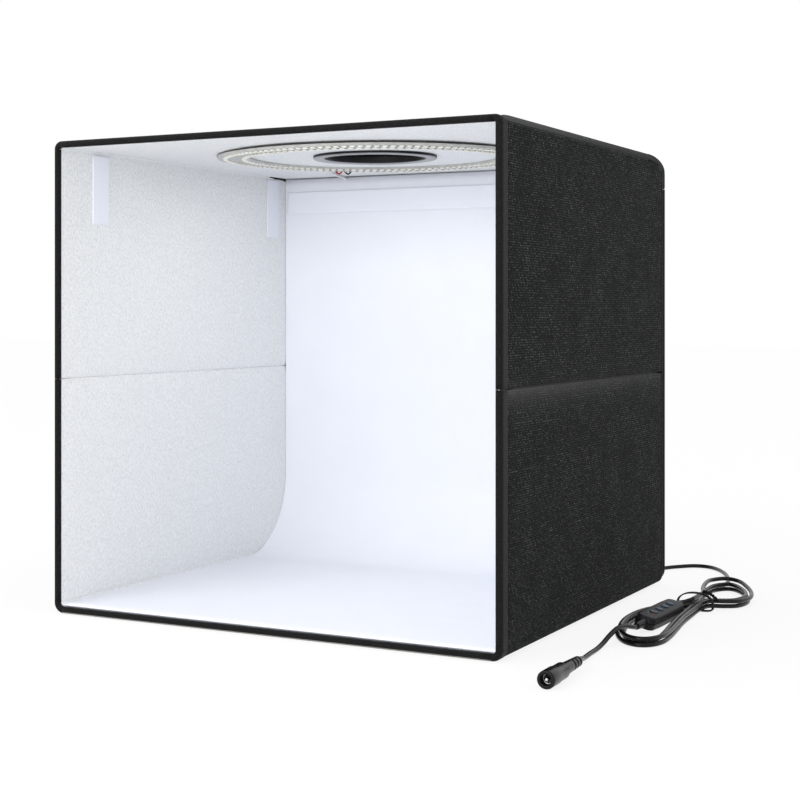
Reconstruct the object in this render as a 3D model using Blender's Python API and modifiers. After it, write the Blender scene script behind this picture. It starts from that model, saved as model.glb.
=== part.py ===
# Folding light tent cube: six padded panels, a curved backdrop sheet and a ring of lamps under the
# ceiling, with its lead, dimmer and socket. Metres, +Z up. The origin is on the floor at the middle
# of the tent, and the open front looks along -Y.

import math

import bmesh
import bpy
import numpy as np
from mathutils import Vector

for thing in list(bpy.data.objects):
    bpy.data.objects.remove(thing, do_unlink=True)

# The tent's outside
WIDTH = 0.306
DEPTH = 0.303
HEIGHT = 0.300

# A panel is cloth, board and lining, and the tape that binds its front edge stands proud of them
TAPE = 0.0004
LAY = 0.0001
FABRIC = 0.0005
BOARD = 0.002
TAPE_BAND = 0.009
TAPE_RETURN = 0.003
TOUCH = 0.0003
SKIN = TAPE + LAY
PANEL = 2 * (SKIN + FABRIC + LAY) + BOARD

# The padded strips that join the walls to the base and the ceiling, and the lines they fold on
LOW_CORNER = 0.0065
TOP_CORNER = 0.005
LOW_FOLD_DROP = 0.001
TOP_FOLD_DROP = 0.0027
CORNER_SEGMENTS = 6

# The ceiling ends in a loose roll of cloth that turns down into the hem of the back
ROLL_DEPTH = 0.038
ROLL_DROP = 0.010
ROLL_CLOTH = 0.001
ROLL_SEGMENTS = 14
WALL_CUT_GAP = 0.0025
CEILING_OVERRUN = 0.0205
HEM_HEIGHT = 0.012
BACK_SWING_Y = 0.0035
BACK_SWING_Z = 0.0035
BACK_GROUND_GAP = 0.0025
BACK_CORNER = 0.006

# The window in the ceiling, its rim and the flap over it
WINDOW_RADIUS = 0.034
RIM_WIDTH = 0.0075
RIM_THICKNESS = 0.0022
ROUND_SEGMENTS = 48
FLAP_SIZE = 0.100
FLAP_THICKNESS = 0.0008

# The lamp ring
RING_INNER = 0.084
RING_OUTER = 0.106
RING_THICKNESS = 0.0015
LED_WIDTH = 0.003
LED_THICKNESS = 0.0008
LED_OUTER_RADIUS = 0.1005
LED_INNER_RADIUS = 0.088

# Hook tape on the side walls
HOOK_WIDTH = 0.018
HOOK_HEIGHT = 0.045
HOOK_THICKNESS = 0.0009
HOOK_TOP_GAP = 0.0007
HOOK_FRONT_INSET = 0.036
HOOK_REAR_INSET = 0.023

# The backdrop sheet
SHEET = 0.0008
SHEET_SIDE_GAP = 0.0023
SHEET_FRONT_INSET = 0.0035
SHEET_REAR_GAP = 0.0066
SHEET_TOP_GAP = 0.0033
COVE_RADIUS = 0.0604
COVE_SEGMENTS = 14
BAND_TOP_GAP = 0.0071
BAND_HEIGHT = 0.017
BAND_THICKNESS = 0.001

# The cord and the grommet it leaves by
CORD = 0.0028
LEAD = 0.002
GLAND_INSET = 0.025
GLAND_Z = 0.005
GLAND_LENGTH = 0.0135
GLAND_RADIUS = 0.0032
GLAND_FLANGE = 0.004
GLAND_FLANGE_SHARE = 0.12
NOTCH_WIDTH = 0.016
NOTCH_HEIGHT = 0.010

# The dimmer lies in the front loops of the hank, tipped on its lower right edge
CASE_LENGTH = 0.063
CASE_WIDTH = 0.0125
CASE_HEIGHT = 0.008
CASE_LOWER = 0.0042
CASE_BOW = 0.0006
CASE_CHAMFER = 0.0018
CASE_PLACE = (0.1999, 0.00135, 0.0003)
CASE_ROLL = math.radians(14)
CASE_HEADING = math.radians(-1.36)
BUTTON_RADIUS = 0.0025
BUTTON_GAP = 0.0003
BUTTON_PROUD = 0.0005
BUTTON_FOOT = 0.0009
BUTTON_PITCH = 0.0105
BUTTON_SHIFT = 0.001
BUTTON_SEGMENTS = 16
STRAIN_IN_LENGTH = 0.0085
STRAIN_OUT_LENGTH = 0.0125
STRAIN_RADIUS = 0.0028
STRAIN_RIB_PITCH = 0.0022
STRAIN_RIB_SHARE = 0.86
STRAIN_TAPER_SHARE = 0.72

# The socket on the end of the cord
JACK_RADIUS = 0.0049
JACK_HEAD = 0.026
JACK_STEP_SHARE = 0.5
JACK_STEP = 0.0004
JACK_NECK = 0.025
JACK_NECK_RADIUS = 0.0036
JACK_RIB_DEPTH = 0.0007
JACK_RIBS = 4
JACK_SEGMENTS = 20
MERGE = 0.00001
JACK_BORE = 0.0028
JACK_BORE_DEPTH = 0.009
JACK_PIN_RADIUS = 0.001
JACK_PIN_LENGTH = 0.0075
JACK_MOUTH = (0.196, -0.199)
JACK_HEADING = math.radians(1.1)

# The cord's own routes, chosen by hand along the floor
CORD_ROUTE = (
    (0.1280, 0.1670, 0.0045),
    (0.1282, 0.1750, 0.0030),
    (0.1295, 0.1860, 0.0015),
    (0.1365, 0.2070, 0.0014),
    (0.1440, 0.2190, 0.0014),
    (0.1530, 0.2280, 0.0014),
    (0.1630, 0.2280, 0.0014),
    (0.1720, 0.2200, 0.0014),
    (0.1820, 0.2030, 0.0014),
    (0.1905, 0.1800, 0.0014),
    (0.1945, 0.1600, 0.0014),
    (0.1935, 0.1440, 0.0014),
)
PLUG_ROUTE = (
    (0.1932, -0.0500, 0.0066),
    (0.1915, -0.0575, 0.0081),
    (0.1900, -0.0660, 0.0081),
    (0.1887, -0.0760, 0.0056),
    (0.1880, -0.0860, 0.0027),
    (0.1880, -0.0960, 0.0014),
    (0.1888, -0.1110, 0.0014),
    (0.1906, -0.1260, 0.0020),
    (0.1930, -0.1390, 0.0042),
)
LEAD_ROUTE = (
    (-0.0800, 0.0850, 0.2950),
    (-0.0870, 0.1080, 0.2948),
    (-0.0930, 0.1290, 0.2946),
    (-0.0950, 0.1385, 0.2945),
    (-0.0952, 0.1432, 0.2920),
    (-0.0945, 0.1438, 0.2850),
    (-0.0850, 0.1438, 0.2550),
    (-0.0600, 0.1438, 0.2150),
    (-0.0200, 0.1438, 0.1650),
    (0.0350, 0.1438, 0.1150),
    (0.0800, 0.1438, 0.0750),
    (0.1100, 0.1438, 0.0420),
    (0.1235, 0.1438, 0.0200),
    (0.1275, 0.1436, 0.0085),
)

# Plan of the hank's outermost turn, from the rear tip down its left side and round the front tip
HANK_LOOP = (
    (0.1908, 0.1290), (0.1900, 0.1120), (0.1915, 0.0930), (0.1940, 0.0770), (0.1962, 0.0615),
    (0.1893, 0.0475), (0.1824, 0.0330), (0.1772, 0.0170), (0.1753, 0.0000), (0.1763, -0.0200),
    (0.1803, -0.0410), (0.1868, -0.0585), (0.1945, -0.0705), (0.2040, -0.0757), (0.2125, -0.0712),
    (0.2165, -0.0590), (0.2160, -0.0420), (0.2135, -0.0200), (0.2105, 0.0050), (0.2088, 0.0300),
    (0.2088, 0.0470), (0.2110, 0.0600), (0.2190, 0.0670), (0.2260, 0.0760), (0.2285, 0.0920),
    (0.2250, 0.1100), (0.2180, 0.1260), (0.2090, 0.1390), (0.1985, 0.1415),
)
HANK_TURNS = 3
HANK_EXTRA_POINTS = 4
HANK_STEP = 0.0038
HANK_LAYER = 0.0033
HANK_LAST_SHIFT = 0.007
# The middle and the length, in turns, of each climb from layer to layer and of the last shift
HANK_CLIMB_SHARES = ((1.569, 0.4), (2.905, 0.13))
HANK_SHIFT_SHARES = (3.055, 0.15)
HANK_TIE_LIFT = 0.0013
HANK_TIE_REACH = 0.014
HANK_LEAD_IN = (
    (0.2005, 0.0528, 0.0076),
    (0.1981, 0.0484, 0.0068),
)
TIE_PLACE = (0.2014, 0.0560)
TIE_WIDTH = 0.004
TIE_THICKNESS = 0.0008
TIE_HALF = 0.0114
TIE_WAIST_Z = 0.0042
TIE_RISE = 0.0072
TIE_FALL = 0.0032
TIE_SEGMENTS = 28
TIE_ROUNDNESS_SHARES = (2.2, 5)

# Worked out from the sizes above
HALF_WIDTH = WIDTH / 2
FRONT = -DEPTH / 2
BACK = DEPTH / 2
WALL_BACK = BACK - PANEL - TOUCH
INSIDE = HALF_WIDTH - PANEL
BOARD_FRONT = FRONT + SKIN
WALL_LOW = LOW_CORNER + TOUCH
WALL_HIGH = HEIGHT - TOP_CORNER - TOUCH
LOW_FOLD_Z = LOW_CORNER - LOW_FOLD_DROP
TOP_FOLD_Z = HEIGHT - TOP_CORNER - TOP_FOLD_DROP
MID_FOLD_Z = (LOW_FOLD_Z + TOP_FOLD_Z) / 2
CEILING = HEIGHT - PANEL
ROLL_FRONT = BACK - ROLL_DEPTH
HEM_TOP = HEIGHT - ROLL_DROP
HEM_LOW = HEM_TOP - HEM_HEIGHT
BACK_TOP = HEM_LOW - TOUCH
BACK_FRONT = BACK - PANEL
RING_TOP = CEILING + SKIN - TOUCH
RIM_OUTER = WINDOW_RADIUS + RIM_WIDTH
FLAP_LOW = HEIGHT - SKIN + TOUCH
SHEET_LOW = PANEL + TOUCH
SHEET_TOP = CEILING - SHEET_TOP_GAP
SHEET_HALF = INSIDE - SHEET_SIDE_GAP
SHEET_BACK = WALL_BACK - SHEET_REAR_GAP
SHEET_FRONT = FRONT + SHEET_FRONT_INSET
GLAND_X = HALF_WIDTH - GLAND_INSET
BUTTON_HOLE = BUTTON_RADIUS + BUTTON_GAP
AXIS_HEIGHT = CASE_HEIGHT / 2
TURN_POINTS = len(HANK_LOOP)

# Looks, as base colour, roughness and metallic value
BLACK_CLOTH = ((0.022, 0.022, 0.025), 0.85, 0.0)
BLACK_TAPE = ((0.012, 0.012, 0.014), 0.7, 0.0)
WHITE_LINING = ((0.66, 0.68, 0.70), 0.5, 0.15)
GREY_BOARD = ((0.45, 0.43, 0.40), 0.8, 0.0)
WHITE_SHEET = ((0.90, 0.92, 0.95), 0.6, 0.0)
WHITE_HOOK = ((0.80, 0.81, 0.86), 0.75, 0.0)
RING_WHITE = ((0.85, 0.86, 0.86), 0.45, 0.0)
LED_YELLOW = ((0.85, 0.80, 0.45), 0.3, 0.0)
BLACK_RUBBER = ((0.010, 0.010, 0.011), 0.4, 0.0)
DARK_PLASTIC = ((0.045, 0.045, 0.050), 0.45, 0.0)
BUTTON_GREY = ((0.07, 0.08, 0.11), 0.5, 0.0)
BRIGHT_METAL = ((0.75, 0.74, 0.72), 0.25, 1.0)

tent = bpy.data.collections.new("light_tent_cube")
bpy.context.scene.collection.children.link(tent)


def add_empty(name, place, turn=(0, 0, 0), parent=None):
    """An empty that carries one moving body, on its joint's axis, in its parent's frame."""
    empty = bpy.data.objects.new(name, None)
    empty.location = place
    empty.rotation_euler = turn
    empty.parent = parent
    tent.objects.link(empty)
    return empty


def carry(piece, look, carrier, own_frame=False):
    """Give a piece its material and its carrier, keeping its world place unless it is in own_frame."""
    colour, roughness, metallic = look
    material = bpy.data.materials.new(piece.name)
    material.use_nodes = True
    shader = material.node_tree.nodes["Principled BSDF"]
    shader.inputs["Base Color"].default_value = (*colour, 1)
    shader.inputs["Roughness"].default_value = roughness
    shader.inputs["Metallic"].default_value = metallic
    piece.data.materials.append(material)
    tent.objects.link(piece)
    piece.parent = carrier
    if not own_frame:
        piece.matrix_parent_inverse = carrier.matrix_world.inverted()
    return piece


def box(name, low, high, look, carrier):
    """A block between two corners."""
    size = [b - a for a, b in zip(low, high)]
    shape = bmesh.new()
    bmesh.ops.create_cube(shape, size=1)
    bmesh.ops.scale(shape, vec=size, verts=shape.verts)
    mesh = bpy.data.meshes.new(name)
    shape.to_mesh(mesh)
    shape.free()
    piece = bpy.data.objects.new(name, mesh)
    piece.location = [(a + b) / 2 for a, b in zip(low, high)]
    return carry(piece, look, carrier)


def plate(name, axis, outlines, low, high, look, carrier, own_frame=False):
    """A flat outline, with any holes after it, drawn out along X, Y or Z from low to high."""
    curve = bpy.data.curves.new(name, "CURVE")
    curve.dimensions = "2D"
    curve.fill_mode = "BOTH"
    curve.extrude = (high - low) / 2
    for outline in outlines:
        spline = curve.splines.new("POLY")
        spline.points.add(len(outline) - 1)
        for knot, (across, up) in zip(spline.points, outline):
            knot.co = (across, up, 0, 1)
        spline.use_cyclic_u = True
    piece = bpy.data.objects.new(name, curve)
    middle = (low + high) / 2
    quarter = math.pi / 2
    place, turn = {
        "X": ((middle, 0, 0), (quarter, 0, quarter)),
        "Y": ((0, middle, 0), (quarter, 0, 0)),
        "Z": ((0, 0, middle), (0, 0, 0)),
    }[axis]
    piece.location = place
    piece.rotation_euler = turn
    return carry(piece, look, carrier, own_frame)


def tube(name, points, radius, look, carrier, shares=None, resolution=2, own_frame=False):
    """A round cord or boot along the points, its radius scaled by the shares."""
    curve = bpy.data.curves.new(name, "CURVE")
    curve.dimensions = "3D"
    curve.bevel_depth = radius
    curve.bevel_resolution = resolution
    curve.use_fill_caps = True
    spline = curve.splines.new("POLY")
    spline.points.add(len(points) - 1)
    for knot, place, share in zip(spline.points, points, shares or [1] * len(points)):
        knot.co = (*place, 1)
        knot.radius = share
    piece = bpy.data.objects.new(name, curve)
    return carry(piece, look, carrier, own_frame)


def arc(centre, radii, start, stop, segments):
    """Points of an elliptical arc, its angles in quarter turns."""
    angles = [math.pi / 2 * (start + (stop - start) * i / segments) for i in range(segments + 1)]
    return [(centre[0] + radii[0] * math.cos(a), centre[1] + radii[1] * math.sin(a)) for a in angles]


def circle(radius, segments=ROUND_SEGMENTS, centre=(0, 0)):
    """Points of a full circle."""
    return arc(centre, (radius, radius), 0, 4, segments)[:-1]


def through(route, step):
    """Points about a step apart on a smooth curve through the route's points."""
    knots = np.array(route, float)
    knots = np.vstack([2 * knots[0] - knots[1], knots, 2 * knots[-1] - knots[-2]])
    points = []
    for a, b, c, d in zip(knots, knots[1:], knots[2:], knots[3:]):
        count = max(1, round(float(np.linalg.norm(c - b)) / step))
        for share in np.arange(count) / count:
            points.append(spline_point(a, b, c, d, share))
    points.append(knots[-2])
    return [tuple(map(float, point)) for point in points]


def spline_point(a, b, c, d, share):
    """The point at a share of the way from b to c on the cubic with the slopes of its neighbours."""
    rise = (c - a) * share + (2 * a - 5 * b + 4 * c - d) * share ** 2
    return b + (rise + (3 * b - a - 3 * c + d) * share ** 3) / 2


def channel(outer, inner):
    """Section of a tape folded round a front edge: y against the coordinate that crosses the panel."""
    fold = math.copysign(TAPE, inner - outer)
    return [
        (FRONT, outer),
        (FRONT + TAPE_BAND, outer),
        (FRONT + TAPE_BAND, outer + fold),
        (FRONT + TAPE, outer + fold),
        (FRONT + TAPE, inner - fold),
        (FRONT + TAPE_RETURN, inner - fold),
        (FRONT + TAPE_RETURN, inner),
        (FRONT, inner),
    ]


def make_bodies():
    """One empty for each body, where its joint turns or slides."""
    places = {
        "base": (0, 0, 0),
        "left_lower": (-INSIDE, 0, LOW_FOLD_Z),
        "left_upper": (-HALF_WIDTH - TOUCH / 2, 0, MID_FOLD_Z),
        "right_lower": (INSIDE, 0, LOW_FOLD_Z),
        "right_upper": (HALF_WIDTH + TOUCH / 2, 0, MID_FOLD_Z),
        "top": (-INSIDE, 0, TOP_FOLD_Z),
        "window_flap": (0, FLAP_SIZE / 2, FLAP_LOW),
        "back": (0, BACK - BACK_SWING_Y, HEIGHT - BACK_SWING_Z),
        "backdrop": (0, 0, SHEET_LOW),
    }
    return {name: add_empty(name + "_body", place) for name, place in places.items()}


def make_base(body):
    half = HALF_WIDTH - LOW_CORNER - TOUCH
    box("base_cover", (-half, FRONT + TAPE_BAND + LAY, 0), (half, WALL_BACK, FABRIC), BLACK_CLOTH, body)
    low = FABRIC + LAY
    high = PANEL - SKIN - FABRIC - LAY
    box("base_board", (-half, BOARD_FRONT, low), (half, WALL_BACK, high), GREY_BOARD, body)
    low, high = high + LAY, PANEL - SKIN
    box("base_lining", (-half, BOARD_FRONT, low), (half, WALL_BACK, high), WHITE_LINING, body)
    plate("base_binding", "X", [channel(0, PANEL)], -half, half, BLACK_TAPE, body)


def make_corners(base, top):
    """Quarter rings of padded cloth, on which the walls turn."""
    for side, name in ((-1, "left"), (1, "right")):
        for radius, level, body in ((LOW_CORNER, "lower", base), (TOP_CORNER, "upper", top)):
            low = level == "lower"
            centre = (side * (HALF_WIDTH - radius), radius if low else HEIGHT - radius)
            start = (2 if side < 0 else 3) if low else (1 if side < 0 else 0)
            inner = radius - PANEL
            outline = arc(centre, (radius, radius), start, start + 1, CORNER_SEGMENTS)
            outline += arc(centre, (inner, inner), start + 1, start, CORNER_SEGMENTS)
            end = WALL_BACK if low else ROLL_FRONT - TOUCH
            plate(f"corner_{level}_{name}", "Y", [outline], FRONT, end, BLACK_CLOTH, body)


def make_wall(side, name, level, body):
    """Half of a side wall: cloth outside, board, lining inside, and tape round its front edge."""
    upper = level == "upper"
    low = MID_FOLD_Z + TOUCH / 2 if upper else WALL_LOW
    high = WALL_HIGH if upper else MID_FOLD_Z - TOUCH / 2
    outline = [(BOARD_FRONT, low), (WALL_BACK, low), (WALL_BACK, high), (BOARD_FRONT, high)]
    if upper:
        outline[2:3] = cut_corner(high)
    depth = HALF_WIDTH - SKIN
    for layer, thickness, look in (
        ("cover", FABRIC, BLACK_CLOTH),
        ("board", BOARD, GREY_BOARD),
        ("lining", FABRIC, WHITE_LINING),
    ):
        faces = sorted((side * depth, side * (depth - thickness)))
        plate(f"{name}_{level}_{layer}", "X", [outline], *faces, look, body)
        depth -= thickness + LAY
    section = [(across, y) for y, across in channel(side * HALF_WIDTH, side * INSIDE)]
    plate(f"{name}_{level}_binding", "Z", [section], low, high, BLACK_TAPE, body)


def cut_corner(high):
    """The wall's rear top corner, cut to keep a gap under the roll of cloth."""
    gap = ROLL_CLOTH + WALL_CUT_GAP
    radii = (ROLL_DEPTH - gap, ROLL_DROP - gap)
    first = math.acos((WALL_BACK - ROLL_FRONT) / radii[0]) / (math.pi / 2)
    last = math.asin((high - HEM_TOP) / radii[1]) / (math.pi / 2)
    return arc((ROLL_FRONT, HEM_TOP), radii, first, last, CORNER_SEGMENTS)


def make_hooks(side, name, body):
    """Two strips of hook tape near the top of a side wall, on its lining."""
    face = INSIDE + SKIN - TOUCH
    across = sorted((side * face, side * (face - HOOK_THICKNESS)))
    high = WALL_HIGH - HOOK_TOP_GAP
    places = (("front", FRONT + HOOK_FRONT_INSET), ("rear", BACK - HOOK_REAR_INSET - HOOK_WIDTH))
    for end, start in places:
        low_corner = (across[0], start, high - HOOK_HEIGHT)
        box(f"hook_strip_{name}_{end}", low_corner, (across[1], start + HOOK_WIDTH, high), WHITE_HOOK, body)


def make_top(body):
    half = HALF_WIDTH - TOP_CORNER - TOUCH
    hole = circle(WINDOW_RADIUS)
    high = HEIGHT - SKIN
    for layer, thickness, end, look in (
        ("cover", FABRIC, ROLL_FRONT - TOUCH, BLACK_CLOTH),
        ("board", BOARD, ROLL_FRONT - TOUCH, GREY_BOARD),
        ("lining", FABRIC, ROLL_FRONT + CEILING_OVERRUN, WHITE_LINING),
    ):
        outline = [(-half, BOARD_FRONT), (half, BOARD_FRONT), (half, end), (-half, end)]
        plate(f"top_{layer}", "Z", [outline, hole], high - thickness, high, look, body)
        high -= thickness + LAY
    plate("top_binding", "X", [channel(HEIGHT, CEILING)], -half, half, BLACK_TAPE, body)


def make_lamps(body):
    """The ring board under the ceiling, its two tracks of lamps, and the rim round the window."""
    low = RING_TOP - RING_THICKNESS
    rings = [circle(RING_OUTER), circle(RING_INNER)]
    plate("ring_board", "Z", rings, low, RING_TOP, RING_WHITE, body)
    high = low - LAY
    for name, radius in (("outer", LED_OUTER_RADIUS), ("inner", LED_INNER_RADIUS)):
        rings = [circle(radius + LED_WIDTH / 2), circle(radius - LED_WIDTH / 2)]
        plate(f"led_track_{name}", "Z", rings, high - LED_THICKNESS, high, LED_YELLOW, body)
    rings = [circle(RIM_OUTER), circle(WINDOW_RADIUS)]
    plate("window_rim", "Z", rings, RING_TOP - RIM_THICKNESS, RING_TOP, BLACK_RUBBER, body)


def make_flap(body):
    half = FLAP_SIZE / 2
    high = FLAP_LOW + FLAP_THICKNESS
    box("window_flap", (-half, -half, FLAP_LOW), (half, half, high), BLACK_CLOTH, body)


def make_roll(body):
    """The cloth that rolls from the ceiling's rear edge down to the hem."""
    centre = (ROLL_FRONT, HEM_TOP)
    inner = (ROLL_DEPTH - ROLL_CLOTH, ROLL_DROP - ROLL_CLOTH)
    outline = arc(centre, (ROLL_DEPTH, ROLL_DROP), 0, 1, ROLL_SEGMENTS)
    outline += arc(centre, inner, 1, 0, ROLL_SEGMENTS)
    outline = [(y, max(z, HEM_TOP + TOUCH)) for y, z in outline]
    plate("spine_cloth", "X", [outline], -HALF_WIDTH, HALF_WIDTH, BLACK_CLOTH, body)


def make_back(body):
    """The hem under the roll, and the back panel that hangs from it."""
    low_corner = (-HALF_WIDTH, BACK_FRONT, HEM_LOW)
    box("back_hem", low_corner, (HALF_WIDTH, BACK, HEM_TOP), BLACK_CLOTH, body)
    low = BACK_GROUND_GAP
    corner = (BACK_CORNER, BACK_CORNER)
    side = HALF_WIDTH - BACK_CORNER
    outline = arc((-side, low + BACK_CORNER), corner, 2, 3, CORNER_SEGMENTS)
    outline += [
        (GLAND_X - NOTCH_WIDTH / 2, low),
        (GLAND_X - NOTCH_WIDTH / 2, NOTCH_HEIGHT),
        (GLAND_X + NOTCH_WIDTH / 2, NOTCH_HEIGHT),
        (GLAND_X + NOTCH_WIDTH / 2, low),
    ]
    outline += arc((side, low + BACK_CORNER), corner, 3, 4, CORNER_SEGMENTS)
    outline += [(HALF_WIDTH, BACK_TOP), (-HALF_WIDTH, BACK_TOP)]
    face = BACK - SKIN
    for layer, thickness, look in (
        ("cover", FABRIC, BLACK_CLOTH),
        ("board", BOARD, GREY_BOARD),
        ("lining", FABRIC, WHITE_LINING),
    ):
        plate(f"back_{layer}", "Y", [outline], face - thickness, face, look, body)
        face -= thickness + LAY


def make_backdrop(body):
    """One sheet that lies on the floor of the tent, sweeps up in a cove and stands at the back."""
    centre = (SHEET_BACK - COVE_RADIUS, SHEET_LOW + COVE_RADIUS)
    inner = COVE_RADIUS - SHEET
    outline = [(SHEET_FRONT, SHEET_LOW + SHEET), (SHEET_FRONT, SHEET_LOW)]
    outline += arc(centre, (COVE_RADIUS, COVE_RADIUS), 3, 4, COVE_SEGMENTS)
    outline += [(SHEET_BACK, SHEET_TOP), (SHEET_BACK - SHEET, SHEET_TOP)]
    outline += arc(centre, (inner, inner), 4, 3, COVE_SEGMENTS)
    plate("backdrop_sheet", "X", [outline], -SHEET_HALF, SHEET_HALF, WHITE_SHEET, body)
    face = SHEET_BACK - SHEET - TOUCH
    high = SHEET_TOP - BAND_TOP_GAP
    low_corner = (-SHEET_HALF, face - BAND_THICKNESS, high - BAND_HEIGHT)
    box("backdrop_hook_strip", low_corner, (SHEET_HALF, face, high), WHITE_HOOK, body)


def make_gland(body):
    """A flanged rubber grommet behind the base's rear edge, in the back panel's notch."""
    start = WALL_BACK + TOUCH
    flange = GLAND_LENGTH * GLAND_FLANGE_SHARE
    stops = (0, flange, flange + LAY, GLAND_LENGTH)
    points = [(GLAND_X, start + stop, GLAND_Z) for stop in stops]
    shares = [GLAND_FLANGE / GLAND_RADIUS, GLAND_FLANGE / GLAND_RADIUS, 1, STRAIN_TAPER_SHARE]
    tube("cord_gland", points, GLAND_RADIUS, BLACK_RUBBER, body, shares)
    return start, start + GLAND_LENGTH


def make_lead(start, body):
    """The lamps' own lead, from the ring's outer edge, over the backdrop and down behind it."""
    reach = (RING_OUTER + TOUCH) / math.sqrt(2)
    level = RING_TOP - RING_THICKNESS / 2
    first = (-reach, reach, level)
    second = (-reach - LEAD / 2, reach + LEAD, level)
    last = (GLAND_X, start - TOUCH, GLAND_Z + LEAD / 2)
    before = (GLAND_X, last[1] - LEAD, last[2])
    points = [first] + through((second,) + LEAD_ROUTE + (before,), 6 * LEAD) + [last]
    tube("ring_lead", points, LEAD / 2, BLACK_RUBBER, body, resolution=1)


def hank_points():
    """The hank's turns: each loop steps inwards from the outermost, then out again a layer higher."""
    loop = np.array(HANK_LOOP)
    count = TURN_POINTS
    last = HANK_TURNS * count + HANK_EXTRA_POINTS
    points = []
    for index in range(last + 1):
        before, here, after = (loop[(index + step) % count] for step in (-1, 0, 1))
        run = (after - before) / np.linalg.norm(after - before)
        inward = min(index, last - index) / count
        turn = index / count
        over = climbed(turn, HANK_SHIFT_SHARES)
        shift = HANK_STEP * inward * (1 - over) + HANK_LAST_SHIFT * over
        x, y = here + np.array((-run[1], run[0])) * shift
        climb = sum(climbed(turn, shares) for shares in HANK_CLIMB_SHARES)
        lift = HANK_TIE_LIFT * math.exp(-(((y - TIE_PLACE[1]) / HANK_TIE_REACH) ** 2))
        points.append((float(x), float(y), CORD / 2 + HANK_LAYER * climb + lift))
    return points


def climbed(turn, shares):
    """How much of a climb is done at this turn: nothing to one, with no slope at either end."""
    middle, length = shares
    share = min(max((turn - middle) / length + 1 / 2, 0), 1)
    return share * share * (3 - 2 * share)


def least_gap(points, diameter):
    """The least clear distance between two stretches of a tube, and the tube's length."""
    knots = np.array(points)
    steps = np.arange(0, 1, 0.1)[:, None]
    dense = np.concatenate([a + (b - a) * steps for a, b in zip(knots, knots[1:])])
    along = np.concatenate([[0], np.cumsum(np.linalg.norm(np.diff(dense, axis=0), axis=1))])
    least = math.inf
    for place, travelled in zip(dense, along):
        apart = dense[np.abs(along - travelled) > 5 * diameter]
        least = min(least, float(np.linalg.norm(apart - place, axis=1).min()))
    return least - diameter, float(along[-1])


def make_cord(gland_end, case, body):
    """The cord behind the tent, the hank, and the stretch to the socket."""
    turns = hank_points()
    start = np.array(turns[0])
    first = (GLAND_X, gland_end + TOUCH, GLAND_Z)
    run = (start - np.array(turns[1])) / np.linalg.norm(start - np.array(turns[1]))
    last = tuple(start + run * TOUCH)
    before = tuple(start + run * (TOUCH + 2 * CORD))
    second = (first[0], first[1] + CORD / 2, first[2])
    points = [first] + through((second,) + CORD_ROUTE + (before,), 2.5 * CORD) + [last]
    tube("cord_run", points, CORD / 2, BLACK_RUBBER, body)
    run_length = least_gap(points, CORD)[1]

    half = CASE_LENGTH / 2
    axis = -CASE_WIDTH / 2, AXIS_HEIGHT
    entry = case.matrix_world @ point_on_case(axis, half + TOUCH + STRAIN_IN_LENGTH + TOUCH)
    inside = case.matrix_world @ point_on_case(axis, half + TOUCH + STRAIN_IN_LENGTH + CORD)
    ending = through(turns[-2:] + list(HANK_LEAD_IN) + [tuple(inside)], 2 * CORD)
    turns = turns[:-2] + ending + [tuple(entry)]
    tube("cord_hank", turns, CORD / 2, BLACK_RUBBER, body, resolution=1)
    gap, length = least_gap(turns, CORD)
    print(f"hank: least gap {gap * 1000:.2f} mm, cord {length * 1000:.0f} mm, {len(turns)} points")

    leave = case.matrix_world @ point_on_case(axis, -half - TOUCH - STRAIN_OUT_LENGTH - TOUCH)
    clear = case.matrix_world @ point_on_case(axis, -half - TOUCH - STRAIN_OUT_LENGTH - CORD)
    tail = JACK_HEAD + JACK_NECK
    neck = jack_point(tail + TOUCH)
    ahead = jack_point(tail + CORD)
    points = [tuple(leave)] + through((tuple(clear),) + PLUG_ROUTE + (ahead,), 2.5 * CORD) + [neck]
    tube("plug_cord", points, CORD / 2, BLACK_RUBBER, body)
    plug_length = least_gap(points, CORD)[1]
    print(f"cord: run {run_length * 1000:.0f} mm, plug stretch {plug_length * 1000:.0f} mm")


def point_on_case(axis, along):
    """A point on the dimmer's long axis, in its own frame, as a vector."""
    return Vector((axis[0], along, axis[1]))


def jack_point(along):
    """A point on the socket's axis, measured back from its mouth."""
    x = JACK_MOUTH[0] - math.sin(JACK_HEADING) * along
    return (x, JACK_MOUTH[1] + math.cos(JACK_HEADING) * along, JACK_RADIUS)


def make_tie(body):
    """A band round the hank's waist: flat under the cords, humped over them."""
    def ring(grow):
        points = []
        for index in range(TIE_SEGMENTS):
            angle = 2 * math.pi * index / TIE_SEGMENTS
            c, s = math.cos(angle), math.sin(angle)
            power = 2 / TIE_ROUNDNESS_SHARES[s <= 0]
            height = TIE_RISE if s > 0 else TIE_FALL
            x = TIE_PLACE[0] + math.copysign(abs(c) ** power, c) * (TIE_HALF + grow)
            z = TIE_WAIST_Z + math.copysign(abs(s) ** power, s) * (height + grow)
            points.append((x, z))
        return points
    ends = TIE_PLACE[1] - TIE_WIDTH / 2, TIE_PLACE[1] + TIE_WIDTH / 2
    plate("twist_tie", "Y", [ring(TIE_THICKNESS), ring(0)], *ends, BLACK_RUBBER, body)


def case_outline():
    """Plan of the dimmer: long sides bowed a little, corners chamfered."""
    half = CASE_LENGTH / 2
    right = [(0, -half + CASE_CHAMFER), (CASE_BOW, 0), (0, half - CASE_CHAMFER), (-CASE_CHAMFER, half)]
    left = [(-CASE_WIDTH - x, -y) for x, y in right]
    return right + left


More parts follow.
